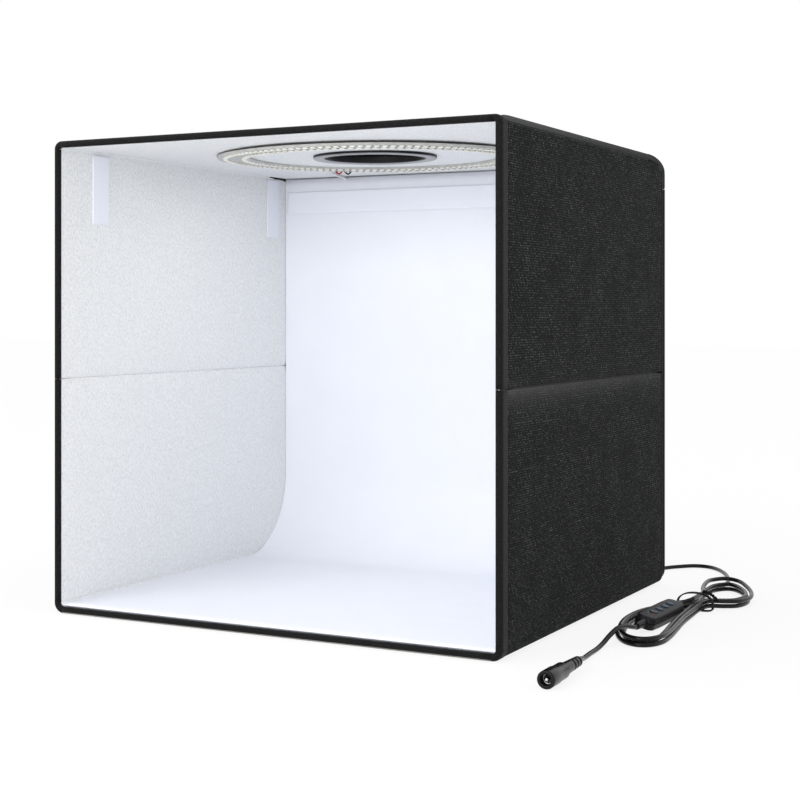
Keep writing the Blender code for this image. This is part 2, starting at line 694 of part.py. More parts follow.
def make_dimmer(case, base):
    """Two case halves, four buttons in their holes, and a ribbed boot at each end."""
    spread = [BUTTON_SHIFT + BUTTON_PITCH * (index - 1.5) for index in range(4)]
    middle = -CASE_WIDTH / 2
    outline = case_outline()
    plate("dimmer_case_bottom", "Z", [outline], 0, CASE_LOWER, DARK_PLASTIC, case, True)
    holes = [circle(BUTTON_HOLE, BUTTON_SEGMENTS, (middle, y)) for y in spread]
    low = CASE_LOWER + TOUCH
    plate("dimmer_case_top", "Z", [outline] + holes, low, CASE_HEIGHT, DARK_PLASTIC, case, True)
    foot = CASE_LOWER + BUTTON_FOOT
    for name, y in zip(("power", "colour", "brighter", "dimmer"), spread):
        place = add_empty(f"button_{name}_body", (middle, y, foot), parent=case)
        tall = CASE_HEIGHT + BUTTON_PROUD - foot
        disc = [circle(BUTTON_RADIUS, BUTTON_SEGMENTS)]
        plate(f"button_{name}", "Z", disc, 0, tall, BUTTON_GREY, place, True)
    for name, length, sign in (("in", STRAIN_IN_LENGTH, 1), ("out", STRAIN_OUT_LENGTH, -1)):
        ribs = max(2, round(length / STRAIN_RIB_PITCH))
        points = []
        shares = []
        for index in range(2 * ribs + 1):
            part = index / (2 * ribs)
            along = CASE_LENGTH / 2 + TOUCH + length * part
            points.append((middle, sign * along, AXIS_HEIGHT))
            taper = 1 - (1 - STRAIN_TAPER_SHARE) * part
            shares.append(taper * (STRAIN_RIB_SHARE if index % 2 else 1))
        tube(f"dimmer_boot_{name}", points, STRAIN_RADIUS, BLACK_RUBBER, case, shares, own_frame=True)


def turned(name, profile, look, place, turn, carrier):
    """A turned solid from a profile of radius and height, its outer side run from top to bottom."""
    mesh = bpy.data.meshes.new(name)
    edges = [(i, i + 1) for i in range(len(profile) - 1)]
    mesh.from_pydata([(radius, 0, height) for radius, height in profile], edges, [])
    piece = bpy.data.objects.new(name, mesh)
    screw = piece.modifiers.new("turn", "SCREW")
    screw.steps = JACK_SEGMENTS
    screw.render_steps = JACK_SEGMENTS
    screw.use_merge_vertices = True
    screw.merge_threshold = MERGE
    piece.location = place
    piece.rotation_euler = turn
    return carry(piece, look, carrier)


def make_jack(body):
    """The socket: a stepped head with a blind bore, a ribbed neck, and the pin in the bore."""
    tail = JACK_HEAD + JACK_NECK
    step = JACK_HEAD * JACK_STEP_SHARE
    profile = [(0, tail), (JACK_NECK_RADIUS * STRAIN_TAPER_SHARE, tail)]
    pitch = JACK_NECK / (JACK_RIBS + 1)
    for rib in range(JACK_RIBS):
        high = tail - pitch * (rib + 0.5)
        radius = JACK_NECK_RADIUS * (STRAIN_TAPER_SHARE + (1 - STRAIN_TAPER_SHARE) * (rib + 1) / JACK_RIBS)
        profile += [(radius, high), (radius, high - pitch / 4)]
        profile += [(radius - JACK_RIB_DEPTH, high - pitch / 4), (radius - JACK_RIB_DEPTH, high - pitch / 2)]
    profile += [
        (JACK_NECK_RADIUS, JACK_HEAD + JACK_STEP),
        (JACK_RADIUS - JACK_STEP, JACK_HEAD - JACK_STEP),
        (JACK_RADIUS - JACK_STEP, step),
        (JACK_RADIUS, step - JACK_STEP),
        (JACK_RADIUS, JACK_STEP),
        (JACK_RADIUS - JACK_STEP, 0),
        (JACK_BORE, 0),
        (JACK_BORE, JACK_BORE_DEPTH),
        (0, JACK_BORE_DEPTH),
    ]
    place = (*JACK_MOUTH, JACK_RADIUS)
    turn = (-math.pi / 2, 0, JACK_HEADING)
    turned("jack_body", profile, BLACK_RUBBER, place, turn, body)
    high = JACK_BORE_DEPTH - TOUCH
    low = high - JACK_PIN_LENGTH
    pin = [(0, high), (JACK_PIN_RADIUS, high), (JACK_PIN_RADIUS, low), (0, low)]
    turned("jack_pin", pin, BRIGHT_METAL, place, turn, body)


bodies = make_bodies()
dimmer = add_empty("dimmer_place", CASE_PLACE, (0, CASE_ROLL, CASE_HEADING), bodies["base"])
bpy.context.view_layer.update()
make_base(bodies["base"])
make_corners(bodies["base"], bodies["top"])
for direction, hand in ((-1, "left"), (1, "right")):
    for half_name in ("lower", "upper"):
        make_wall(direction, hand, half_name, bodies[f"{hand}_{half_name}"])
    make_hooks(direction, hand, bodies[f"{hand}_upper"])
make_top(bodies["top"])
make_lamps(bodies["top"])
make_flap(bodies["window_flap"])
make_roll(bodies["top"])
make_back(bodies["back"])
make_backdrop(bodies["backdrop"])
gland_start, gland_stop = make_gland(bodies["base"])
make_lead(gland_start, bodies["top"])
make_dimmer(dimmer, bodies["base"])
make_cord(gland_stop, dimmer, bodies["base"])
make_tie(bodies["base"])
make_jack(bodies["base"])
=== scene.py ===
import math

import bmesh
import bpy
import numpy as np
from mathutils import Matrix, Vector


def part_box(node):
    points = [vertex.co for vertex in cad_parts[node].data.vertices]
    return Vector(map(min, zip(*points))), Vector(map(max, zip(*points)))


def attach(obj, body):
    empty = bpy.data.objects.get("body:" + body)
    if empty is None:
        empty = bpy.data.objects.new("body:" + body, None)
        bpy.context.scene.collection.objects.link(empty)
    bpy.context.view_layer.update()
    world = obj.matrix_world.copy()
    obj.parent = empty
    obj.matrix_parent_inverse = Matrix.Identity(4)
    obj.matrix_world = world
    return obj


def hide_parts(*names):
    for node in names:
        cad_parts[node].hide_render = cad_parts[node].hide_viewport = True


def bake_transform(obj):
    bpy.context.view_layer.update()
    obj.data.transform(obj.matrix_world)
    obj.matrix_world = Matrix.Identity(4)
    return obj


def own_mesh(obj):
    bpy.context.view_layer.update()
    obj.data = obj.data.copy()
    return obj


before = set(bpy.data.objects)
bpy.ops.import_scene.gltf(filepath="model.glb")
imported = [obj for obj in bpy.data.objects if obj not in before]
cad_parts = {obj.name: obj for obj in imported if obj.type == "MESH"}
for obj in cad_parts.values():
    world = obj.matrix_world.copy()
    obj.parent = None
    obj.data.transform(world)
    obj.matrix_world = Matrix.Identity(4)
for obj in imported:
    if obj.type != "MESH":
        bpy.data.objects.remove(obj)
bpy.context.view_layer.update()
print("frame loaded:", len(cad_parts), "nodes")

# Planes and edges of the tent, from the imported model
tapeLow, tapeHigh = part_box("right_lower_binding")
coverLow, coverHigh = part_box("right_lower_cover")
upperLow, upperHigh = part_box("right_upper_cover")
hemLow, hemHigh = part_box("back_hem")
rollLow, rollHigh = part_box("spine_cloth")
tent = {
    "halfWidth": tapeHigh.x,
    "front": tapeLow.y,
    "back": hemHigh.y,
    "height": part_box("top_binding")[1].z,
    "wallBack": coverHigh.y,
    "panel": tapeHigh.x - tapeLow.x,
    "band": tapeHigh.y - tapeLow.y,
    "skin": tapeHigh.x - coverHigh.x,
    "wallLow": coverLow.z,
    "crease": (coverHigh.z + upperLow.z) / 2,
    "wallHigh": upperHigh.z,
    "rollFront": rollLow.y,
    "rollDepth": rollHigh.y - rollLow.y,
    "hemTop": hemHigh.z,
    "hemLow": hemLow.z,
    "clothThick": 0.0005,
    "tapeThick": 0.0005,
}
tent["coverFront"] = tent["front"] + tent["band"] - 0.0012  # the outer cloth starts under the tape's edge
tent["liningFront"] = tent["front"] + 0.0022
wallSides = ((-1, "left"), (1, "right"))


# Surfaces: every new piece is a grid of points, put into a mesh as whole arrays

surface = {"sharpFrom": 50.0, "doubles": 1e-6}


# Points that meet are made one, and faces of a closed shape turned outwards
def cleaned(mesh, doubles, recalculated):
    shape = bmesh.new()
    shape.from_mesh(mesh)
    if doubles:
        bmesh.ops.remove_doubles(shape, verts=shape.verts, dist=surface["doubles"])
    if recalculated:
        bmesh.ops.recalc_face_normals(shape, faces=shape.faces)
    shape.to_mesh(mesh)
    shape.free()


# Quad (i, j) joins rows i, i + 1 and columns j, j + 1 of the grid; doubles along seams are merged.
def gridPiece(name, points, body, look, uv=None, outward=None, wearAndHighlight=None, solid=None, closed=False,
              patches=None):
    rows, columns = points.shape[:2]
    index = np.arange(rows * columns).reshape(rows, columns)
    quads = np.stack([index[:-1, :-1], index[:-1, 1:], index[1:, 1:], index[1:, :-1]], -1).reshape(-1, 4)
    flat = points.reshape(-1, 3)
    if outward is not None:
        spanA = flat[quads[:, 2]] - flat[quads[:, 0]]
        spanB = flat[quads[:, 3]] - flat[quads[:, 1]]
        facing = np.cross(spanA, spanB)
        if float((facing * np.asarray(outward, float)).sum()) < 0:
            quads = quads[:, ::-1]
    mesh = bpy.data.meshes.new(name)
    mesh.from_pydata(flat.tolist(), [], quads.tolist())
    if uv is not None:
        corner = np.zeros(len(mesh.loops), int)
        mesh.loops.foreach_get("vertex_index", corner)
        layer = mesh.uv_layers.new(name="cloth")
        layer.data.foreach_set("uv", uv.reshape(-1, 2)[corner].astype(np.float32).ravel())
    if wearAndHighlight is not None:
        layer = mesh.attributes.new("wearAndHighlight", "FLOAT", "POINT")
        layer.data.foreach_set("value", wearAndHighlight.astype(np.float32).ravel())
    if patches is not None:
        mesh.polygons.foreach_set("material_index", patches.astype(np.int32).ravel())
    names = (look,) if isinstance(look, str) else look
    for part in names:
        mesh.materials.append(looks[part])
    cleaned(mesh, doubles=True, recalculated=closed)
    mesh.shade_smooth()
    mesh.set_sharp_from_angle(angle=math.radians(surface["sharpFrom"]))
    piece = bpy.data.objects.new(name, mesh)
    bpy.context.scene.collection.objects.link(piece)
    if solid:
        wall = piece.modifiers.new("wall", "SOLIDIFY")
        wall.thickness = solid
        wall.offset = -1
        wall.use_even_offset = False
    if body:
        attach(piece, body)
    return piece


# Several meshes made one piece, under the first one's materials and modifiers
def joined(name, pieces, body=None):
    target = pieces[0]
    with bpy.context.temp_override(active_object=target, object=target, selected_objects=pieces,
                                   selected_editable_objects=pieces):
        bpy.ops.object.join()
    target.name = name
    target.data.name = name
    if body:
        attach(target, body)
    return target


# The parts, each spread over the whole grid, side by side
def gridOf(*parts):
    return np.stack(np.broadcast_arrays(*parts), -1)


# Cosine and sine of an angle in degrees
def towards(angle):
    return math.cos(math.radians(angle)), math.sin(math.radians(angle))


def unit(vectors):
    return vectors / np.linalg.norm(vectors, axis=-1, keepdims=True)


# Places from low to high, closer together towards both ends: the middle plus half times a sine
def edgeStops(low, high, count):
    return (low + high) / 2 + (high - low) / 2 * np.sin(np.linspace(-math.pi / 2, math.pi / 2, count))


# Such places across and along a rectangle
def panelGrid(lowU, highU, lowV, highV, count):
    return np.meshgrid(edgeStops(lowU, highU, count), edgeStops(lowV, highV, count), indexing="ij")


# The cubic through each pair of points with their neighbours' slopes, about a step between points
def smoothRoute(route, step):
    knots = np.array(route, float)
    knots = np.vstack([2 * knots[0] - knots[1], knots, 2 * knots[-1] - knots[-2]])
    parts = []
    for a, b, c, d in zip(knots, knots[1:], knots[2:], knots[3:]):
        count = max(1, round(float(np.linalg.norm(c - b)) / step))
        s = (np.arange(count) / count)[:, None]
        square, cube = 2 * a - 5 * b + 4 * c - d, 3 * b - a - 3 * c + d
        parts.append(b + ((c - a) * s + square * s ** 2 + cube * s ** 3) / 2)
    return np.vstack(parts + [knots[-2:-1]])


# A line through the corners, each inner corner cut back by the radius and rounded by a quadratic curve
def roundedPath(corners, radius, steps=6):
    corners = np.array(corners, float)
    parts = [corners[:1]]
    s = np.linspace(0, 1, steps)[:, None]
    for before, here, after in zip(corners, corners[1:], corners[2:]):
        reach = min(radius, np.linalg.norm(before - here) / 2.1, np.linalg.norm(after - here) / 2.1)
        first, last = here + unit(before - here) * reach, here + unit(after - here) * reach
        parts.append(first * (1 - s) ** 2 + 2 * here * s * (1 - s) + last * s ** 2)
    return np.vstack(parts + [corners[-1:]])


# Distance travelled at each point of a line
def along(points):
    steps = np.linalg.norm(np.diff(points, axis=0), axis=1)
    return np.concatenate([[0], np.cumsum(steps)])


# Circles of the given radii round the path, in the plane of two vectors square to its run; ends closed
def tubeGrid(path, radius, sides, up=(0, 0, 1)):
    run = unit(np.gradient(path, axis=0))
    side = unit(np.cross(run, np.array(up, float)))
    rise = np.cross(side, run)
    radius = np.broadcast_to(radius, len(path)).astype(float)
    turn = np.linspace(0, 2 * math.pi, sides + 1)
    ring = np.cos(turn)[None, :, None] * side[:, None] + np.sin(turn)[None, :, None] * rise[:, None]
    points = path[:, None] + ring * radius[:, None, None]
    travel = along(path)
    uv = gridOf(travel[:, None], turn[None] * radius.max())
    points = np.concatenate([np.broadcast_to(path[0], points[:1].shape), points,
                             np.broadcast_to(path[-1], points[:1].shape)])
    uv = np.concatenate([uv[:1], uv, uv[-1:]])
    return points, uv


# A profile of (radius, distance along the axis) turned about the axis through the place
def turnedGrid(profile, place, axis, sides):
    profile = np.array(profile, float)
    axis = unit(np.array(axis, float))
    helper = np.array((0, 0, 1.0)) if abs(axis[2]) < 0.9 else np.array((1.0, 0, 0))
    side = unit(np.cross(axis, helper))
    rise = np.cross(axis, side)
    turn = np.linspace(0, 2 * math.pi, sides + 1)
    ring = np.cos(turn)[None, :, None] * side + np.sin(turn)[None, :, None] * rise
    points = np.array(place, float) + ring * profile[:, 0, None, None] + axis * profile[:, 1, None, None]
    uv = gridOf(along(profile)[:, None], turn[None] * profile[:, 0].max())
    return points, uv


# A turned piece in its place; patches has one look's number for each step of the profile
def turnedPiece(name, profile, place, axis, sides, look, body="base", patches=None, replaced=None):
    points, uv = turnedGrid(profile, place, axis, sides)
    spread = None if patches is None else np.repeat(patches, sides)
    piece = gridPiece(name, points, body, look, uv, closed=True, patches=spread)
    if replaced:
        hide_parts(replaced)
    return piece


# Materials

# A Principled material; constants go straight on the shader's own sockets
def shaderMaterial(name, colour, roughness, **settings):
    material = bpy.data.materials.new(name)
    material.use_nodes = True
    shader = material.node_tree.nodes["Principled BSDF"]
    shader.inputs["Base Color"].default_value = (*colour, 1)
    shader.inputs["Roughness"].default_value = roughness
    for socket, value in settings.items():
        shader.inputs[socket.replace("_", " ")].default_value = value
    return material


# A Principled material in the style's colour, roughness and other constants
def styled(name, style):
    return shaderMaterial(name, style["colour"], style["roughness"], **style.get("shader", {}))


# A node: at_ names one of its own settings, i and a number one of its inputs, other names are inputs
def node(material, kind, **inputs):
    made = material.node_tree.nodes.new(kind)
    for key, value in inputs.items():
        if key.startswith("at_"):
            setattr(made, key[3:], value)
    for key, value in inputs.items():
        if key.startswith("at_"):
            continue
        byNumber = key[0] == "i" and key[1:].isdigit()
        socket = made.inputs[int(key[1:]) if byNumber else key.replace("_", " ")]
        if isinstance(value, bpy.types.NodeSocket):
            material.node_tree.links.new(value, socket)
        else:
            socket.default_value = value
    return made


def maths(material, operation, first, second=0.0):
    return node(material, "ShaderNodeMath", at_operation=operation, i0=first, i1=second).outputs[0]


# The value times the gain, plus the base
def scaled(material, value, gain, base):
    return maths(material, "ADD", maths(material, "MULTIPLY", value, gain), base)


# The sine of the value, one wave for each pitch
def waves(material, value, pitch):
    return maths(material, "SINE", maths(material, "MULTIPLY", value, 2 * math.pi / pitch))


# A colour ramp from pairs of place and colour
def ramp(material, value, stops):
    made = node(material, "ShaderNodeValToRGB", Fac=value)
    elements = made.color_ramp.elements
    while len(elements) < len(stops):
        elements.new(0.5)
    for element, (place, colour) in zip(elements, stops):
        element.position = place
        element.color = (*colour, 1)
    return made.outputs[0]


# From the first colour to the second, by the share
def mixed(material, share, first, second):
    made = node(material, "ShaderNodeMix", at_data_type="RGBA")
    sockets = [socket for socket in made.inputs if socket.enabled]
    for socket, value in zip(sockets, (share, first, second)):
        if isinstance(value, bpy.types.NodeSocket):
            material.node_tree.links.new(value, socket)
        else:
            socket.default_value = value if not isinstance(value, tuple) else (*value, 1)
    return [socket for socket in made.outputs if socket.enabled][0]


# Links a colour and, where they are given, a roughness and a height into the material's shader
def finishMaterial(material, colour, roughness=None, bump=None, strength=0.3, distance=0.0003):
    shader = material.node_tree.nodes["Principled BSDF"]
    links = material.node_tree.links
    links.new(colour, shader.inputs["Base Color"])
    if roughness is not None:
        links.new(roughness, shader.inputs["Roughness"])
    if bump is not None:
        made = node(material, "ShaderNodeBump", Strength=strength, Distance=distance, Height=bump)
        links.new(made.outputs["Normal"], shader.inputs["Normal"])
    return material


def noise(material, vector, scale, detail=2.0, rough=0.5):
    made = node(material, "ShaderNodeTexNoise", Vector=vector, Scale=scale, Detail=detail, Roughness=rough)
    return made.outputs["Fac"]


def cellular(material, vector, scale, **settings):
    made = node(material, "ShaderNodeTexVoronoi", Vector=vector, Scale=scale, **settings)
    return made.outputs["Distance"]


# How much paler the cloth is painted there, from the piece's own attribute: painted highlight at the crease,
# corners and piping, with some wear
def wearAndHighlightShare(material):
    return node(material, "ShaderNodeAttribute", at_attribute_name="wearAndHighlight").outputs["Fac"]


def clothPlace(material):
    return node(material, "ShaderNodeTexCoord").outputs["UV"]


def objectPlace(material):
    return node(material, "ShaderNodeTexCoord").outputs["Object"]


outerCloth = {
    "colour": (0.0060, 0.0065, 0.0070),
    # Painted highlight colour of the weave's crests
    "crestHighlight": (0.27, 0.275, 0.275),
    # Paler colour painted where the attribute asks: painted highlight, with some wear
    "wornAndHighlit": (0.095, 0.095, 0.097),
    "roughness": 0.8,
    "shader": {"Sheen_Weight": 0.02, "Sheen_Roughness": 0.5, "Specular_IOR_Level": 0.04},
    "threadPitch": 0.0022,
    "rowPitch": 0.0028,
    "lean": 0.55,
    "grain": (900.0, 3.0, 0.7),
    "patch": (38.0, 3.0, 0.6),
    "grainFrom": 0.40,
    "grainGain": 5.0,
    "patchBase": 0.35,
    "crestHighlightFrom": 0.26,
    "highlightAndWearMix": (0.5, 0.5),
    "grainHeight": 0.8,
    "bump": (0.55, 0.0002),
}


# Oxford weave: sin(across) times sin(up), each row shifted by half, its crests painted paler as a highlight
# where the grain lets them
def makeOuterCloth():
    style = outerCloth
    cloth = styled("black_cloth", style)
    place = clothPlace(cloth)
    split = node(cloth, "ShaderNodeSeparateXYZ", i0=place)
    across = maths(cloth, "ADD", split.outputs[0], maths(cloth, "MULTIPLY", split.outputs[1], style["lean"]))
    threads = waves(cloth, across, style["threadPitch"])
    rows = waves(cloth, split.outputs[1], style["rowPitch"])
    weave = maths(cloth, "MULTIPLY", threads, rows)
    grain = noise(cloth, place, *style["grain"])
    patch = noise(cloth, place, *style["patch"])
    above = maths(cloth, "MAXIMUM", maths(cloth, "SUBTRACT", grain, style["grainFrom"]), 0.0)
    bright = maths(cloth, "MULTIPLY", above, style["grainGain"])
    crest = maths(cloth, "MULTIPLY", maths(cloth, "MAXIMUM", weave, 0.0), bright)
    share = maths(cloth, "MULTIPLY", crest, maths(cloth, "ADD", patch, style["patchBase"]))
    highlightedWeave = ramp(cloth, share, ((style["crestHighlightFrom"], style["colour"]), (1.0, style["crestHighlight"])))
    # The attribute mixes in the paler colour: painted highlight at creases, corners and piping, with some
    # wear
    highlightAndWearMix = maths(cloth, "MULTIPLY", wearAndHighlightShare(cloth), scaled(cloth, grain, *style["highlightAndWearMix"]))
    colour = mixed(cloth, highlightAndWearMix, highlightedWeave, style["wornAndHighlit"])
    height = maths(cloth, "ADD", weave, maths(cloth, "MULTIPLY", grain, style["grainHeight"]))
    return finishMaterial(cloth, colour, None, height, *style["bump"])


tapeStyle = {
    "colour": (0.006, 0.006, 0.0065),
    "roughness": 0.6,
    "shader": {"Sheen_Weight": 0.03, "Sheen_Roughness": 0.5, "Specular_IOR_Level": 0.08},
    "ribPitch": 0.0009,
    "crossPitch": 0.0007,
    "grain": (700.0, 2.0, 0.6),
    "tones": ((0.35, (0.004, 0.004, 0.0045)), (0.75, (0.012, 0.012, 0.0125))),
    # Colour of the tape's painted highlight line
    "wornAndHighlit": (0.060, 0.060, 0.062),
    "highlightGain": 0.9,
    "bump": (0.35, 0.00015),
}


# Ribbed binding tape: fine cross ribs along its length, and a slightly paler line that is a painted highlight
def makeTape():
    style = tapeStyle
    tape = styled("black_tape", style)
    place = clothPlace(tape)
    split = node(tape, "ShaderNodeSeparateXYZ", i0=place)
    ribs = waves(tape, split.outputs[0], style["ribPitch"])
    cross = waves(tape, split.outputs[1], style["crossPitch"])
    grain = noise(tape, place, *style["grain"])
    colour = ramp(tape, grain, style["tones"])
    wornAndHighlit = maths(tape, "MULTIPLY", wearAndHighlightShare(tape), style["highlightGain"])
    colour = mixed(tape, wornAndHighlit, colour, style["wornAndHighlit"])
    height = maths(tape, "ADD", maths(tape, "MULTIPLY", ribs, cross), grain)
    return finishMaterial(tape, colour, None, height, *style["bump"])


liningStyle = {
    "colour": (0.75, 0.77, 0.79),
    "roughness": 0.55,
    "shader": {"Specular_IOR_Level": 0.3},
    "slant": {"Rotation": (0, 0, 0.9), "Scale": (1.0, 0.55, 1.0)},
    "cells": 1150.0,
    "smoothness": 0.5,
    "grain": (1000.0, 2.0, 0.6),
    "patch": (22.0, 2.0, 0.5),
    "grainShare": 0.7,
    "cellShare": 0.35,
    "tones": ((0.34, (0.66, 0.67, 0.675)), (0.50, (0.80, 0.81, 0.815)), (0.75, (0.90, 0.91, 0.915))),
    "patchTone": (0.74, 0.755, 0.785),
    "patchShare": 0.2,
    "gloss": (0.25, 0.32),
    "bump": (0.5, 0.0003),
}


# Pebbled silver-white cloth: small uneven cells on a slanting grain, a little mirror in it
def makeLining():
    style = liningStyle
    lining = styled("silver_lining", style)
    place = clothPlace(lining)
    slant = node(lining, "ShaderNodeMapping", Vector=place, **style["slant"]).outputs[0]
    cells = cellular(lining, slant, style["cells"], at_feature="SMOOTH_F1", Smoothness=style["smoothness"])
    grain = noise(lining, slant, *style["grain"])
    patch = noise(lining, place, *style["patch"])
    tone = maths(lining, "ADD", maths(lining, "MULTIPLY", grain, style["grainShare"]),
                 maths(lining, "MULTIPLY", cells, style["cellShare"]))
    colour = ramp(lining, tone, style["tones"])
    colour = mixed(lining, maths(lining, "MULTIPLY", patch, style["patchShare"]), colour, style["patchTone"])
    gloss = scaled(lining, grain, *style["gloss"])
    return finishMaterial(lining, colour, gloss, maths(lining, "ADD", cells, grain), *style["bump"])


sheetStyle = {
    "colour": (0.82, 0.84, 0.90),
    "roughness": 0.6,
    "shader": {"Specular_IOR_Level": 0.2},
    "mottle": (45.0, 4.0, 0.5),
    "tones": ((0.3, (0.815, 0.835, 0.90)), (0.7, (0.83, 0.85, 0.915))),
    "gloss": (0.12, 0.48),
    "grain": (300.0, 2.0),
    "bump": (0.05, 0.0001),
}


# Smooth matte white plastic sheet with the faintest mottle
def makeSheetWhite():
    style = sheetStyle
    sheet = styled("white_sheet", style)
    place = objectPlace(sheet)
    mottle = noise(sheet, place, *style["mottle"])
    colour = ramp(sheet, mottle, style["tones"])
    gloss = scaled(sheet, mottle, *style["gloss"])
    return finishMaterial(sheet, colour, gloss, noise(sheet, place, *style["grain"]), *style["bump"])


hookStyle = {
    "colour": (0.74, 0.76, 0.86),
    "roughness": 0.6,
    "hooks": 900.0,
    "unevenness": 0.25,
    "grain": (60.0, 3.0),
    "tones": ((0.1, (0.88, 0.90, 0.97)), (0.75, (0.82, 0.84, 0.92))),
    "patchTone": (0.86, 0.87, 0.94),
    "patchShare": 0.2,
    "bump": (0.4, 0.0002),
}


# Hook tape: tiny moulded hooks in a square pattern, lavender white
def makeHookTape():
    style = hookStyle
    hooks = styled("white_hook_tape", style)
    place = objectPlace(hooks)
    dots = cellular(hooks, place, style["hooks"], Randomness=style["unevenness"])
    grain = noise(hooks, place, *style["grain"])
    colour = ramp(hooks, dots, style["tones"])
    colour = mixed(hooks, maths(hooks, "MULTIPLY", grain, style["patchShare"]), colour, style["patchTone"])
    return finishMaterial(hooks, colour, None, dots, *style["bump"])


boardStyle = {
    "colour": (0.40, 0.38, 0.35),
    "roughness": 0.85,
    "fibres": (500.0, 4.0, 0.7),
    "tones": ((0.3, (0.33, 0.31, 0.28)), (0.7, (0.46, 0.44, 0.40))),
    "bump": (0.3, 0.0002),
}


# Plain pressed board, only seen at raw edges
def makeBoardGrey():
    style = boardStyle
    board = styled("grey_board", style)
    fibres = noise(board, objectPlace(board), *style["fibres"])
    return finishMaterial(board, ramp(board, fibres, style["tones"]), None, fibres, *style["bump"])


ringStyle = {
    "colour": (0.74, 0.75, 0.75),
    "roughness": 0.45,
    "shader": {"Coat_Weight": 0.05},
    "tracks": 120.0,
    "unevenness": 0.6,
    "tones": ((0.2, (0.52, 0.52, 0.50)), (0.5, (0.45, 0.45, 0.43)), (0.8, (0.38, 0.39, 0.38))),
    "bump": (0.1, 0.0001),
}


# Lacquered circuit board with faint conductor shapes under the lacquer
def makeRingWhite():
    style = ringStyle
    plate = styled("ring_white", style)
    tracks = cellular(plate, objectPlace(plate), style["tracks"], at_distance="CHEBYCHEV",
                      Randomness=style["unevenness"])
    return finishMaterial(plate, ramp(plate, tracks, style["tones"]), None, tracks, *style["bump"])


lampStyle = {
    "colour": (0.88, 0.82, 0.50),
    "roughness": 0.35,
    "shader": {"Coat_Weight": 0.4, "Coat_Roughness": 0.1},
    "uneven": (160.0, 1.0),
    "tones": ((0.35, (0.86, 0.84, 0.72)), (0.65, (0.95, 0.94, 0.88))),
}


# Phosphor of a lamp chip: pale yellow, a little uneven from chip to chip
def makeLampYellow():
    style = lampStyle
    lamp = styled("led_yellow", style)
    uneven = noise(lamp, objectPlace(lamp), *style["uneven"])
    return finishMaterial(lamp, ramp(lamp, uneven, style["tones"]))


plasticStyle = {"fine": (2.0, 0.6), "slow": (40.0, 3.0), "darker": 0.8, "lighter": 1.25, "stops": (0.3, 0.7),
                "gloss": 0.16, "depth": 0.0001}


# Moulded plastic or rubber: fine spark grain, a slow change of tone and of gloss
def plasticMaterial(name, colour, roughness, grain=900.0, strength=0.12, **settings):
    style = plasticStyle
    material = shaderMaterial(name, colour, roughness, **settings)
    place = objectPlace(material)
    fine = noise(material, place, grain, *style["fine"])
    slow = noise(material, place, *style["slow"])
    tones = [tuple(min(1.0, gain * part) for part in colour) for gain in (style["darker"], style["lighter"])]
    tone = ramp(material, slow, list(zip(style["stops"], tones)))
    gloss = scaled(material, slow, style["gloss"], roughness - style["gloss"] / 2)
    return finishMaterial(material, tone, gloss, fine, strength, style["depth"])


looks = {
    "cloth": makeOuterCloth(),
    "tape": makeTape(),
    "lining": makeLining(),
    "sheet": makeSheetWhite(),
    "hooks": makeHookTape(),
    "board": makeBoardGrey(),
    "ring": makeRingWhite(),
    "lead": plasticMaterial("lead_white", (0.72, 0.73, 0.74), 0.45),
    "lamp": makeLampYellow(),
    "resistor": plasticMaterial("resistor_grey", (0.30, 0.30, 0.29), 0.4),
    "solder": plasticMaterial("solder", (0.55, 0.55, 0.56), 0.3, Metallic=1.0),
    "redWire": plasticMaterial("red_wire", (0.45, 0.04, 0.02), 0.4),
    "rubber": plasticMaterial("black_rubber", (0.0045, 0.0045, 0.005), 0.27, 1200.0, 0.06,
                              Specular_IOR_Level=0.2),
    # Black plastic of the rim, also used as painted shade on the ring plate's edge and in the screw holes
    "blackAndShade": plasticMaterial("black_and_painted_shade", (0.005, 0.005, 0.0055), 0.4, Specular_IOR_Level=0.25),
    # The rim's grey is a painted highlight on its black moulding
    "rim": plasticMaterial("rim_grey", (0.27, 0.28, 0.29), 0.38),
    "case": plasticMaterial("dark_plastic", (0.012, 0.0125, 0.015), 0.46, 1500.0, 0.12,
                            Specular_IOR_Level=0.12),
    "button": plasticMaterial("button_grey", (0.014, 0.017, 0.024), 0.45, Specular_IOR_Level=0.12),
    "blueMark": plasticMaterial("blue_mark", (0.035, 0.13, 0.27), 0.45),
    "redMark": plasticMaterial("red_mark", (0.26, 0.03, 0.03), 0.45),
    "greenMark": plasticMaterial("green_mark", (0.03, 0.22, 0.08), 0.45),
    "metal": plasticMaterial("bright_metal", (0.72, 0.71, 0.69), 0.22, 2000.0, 0.05, Metallic=1.0),
}
print("materials made:", len(looks))

# Camera: fitted to the photograph's front frame and right wall
camera = {
    "place": (0.491, -0.9815, 0.192),
    "turn": (90.0, 0.0, 29.21),
    "lens": 73.44,
    "sensor": 36.0,
    "shift": (0.125, -0.11125),
    "clip": (0.01, 20.0),
}


def makeCamera():
    data = bpy.data.cameras.new("camera")
    data.lens, data.sensor_width = camera["lens"], camera["sensor"]
    data.shift_x, data.shift_y = camera["shift"]
    data.clip_start, data.clip_end = camera["clip"]
    eye = bpy.data.objects.new("camera", data)
    eye.location = camera["place"]
    eye.rotation_euler = [math.radians(part) for part in camera["turn"]]
    bpy.context.scene.collection.objects.link(eye)
    bpy.context.scene.camera = eye


makeCamera()

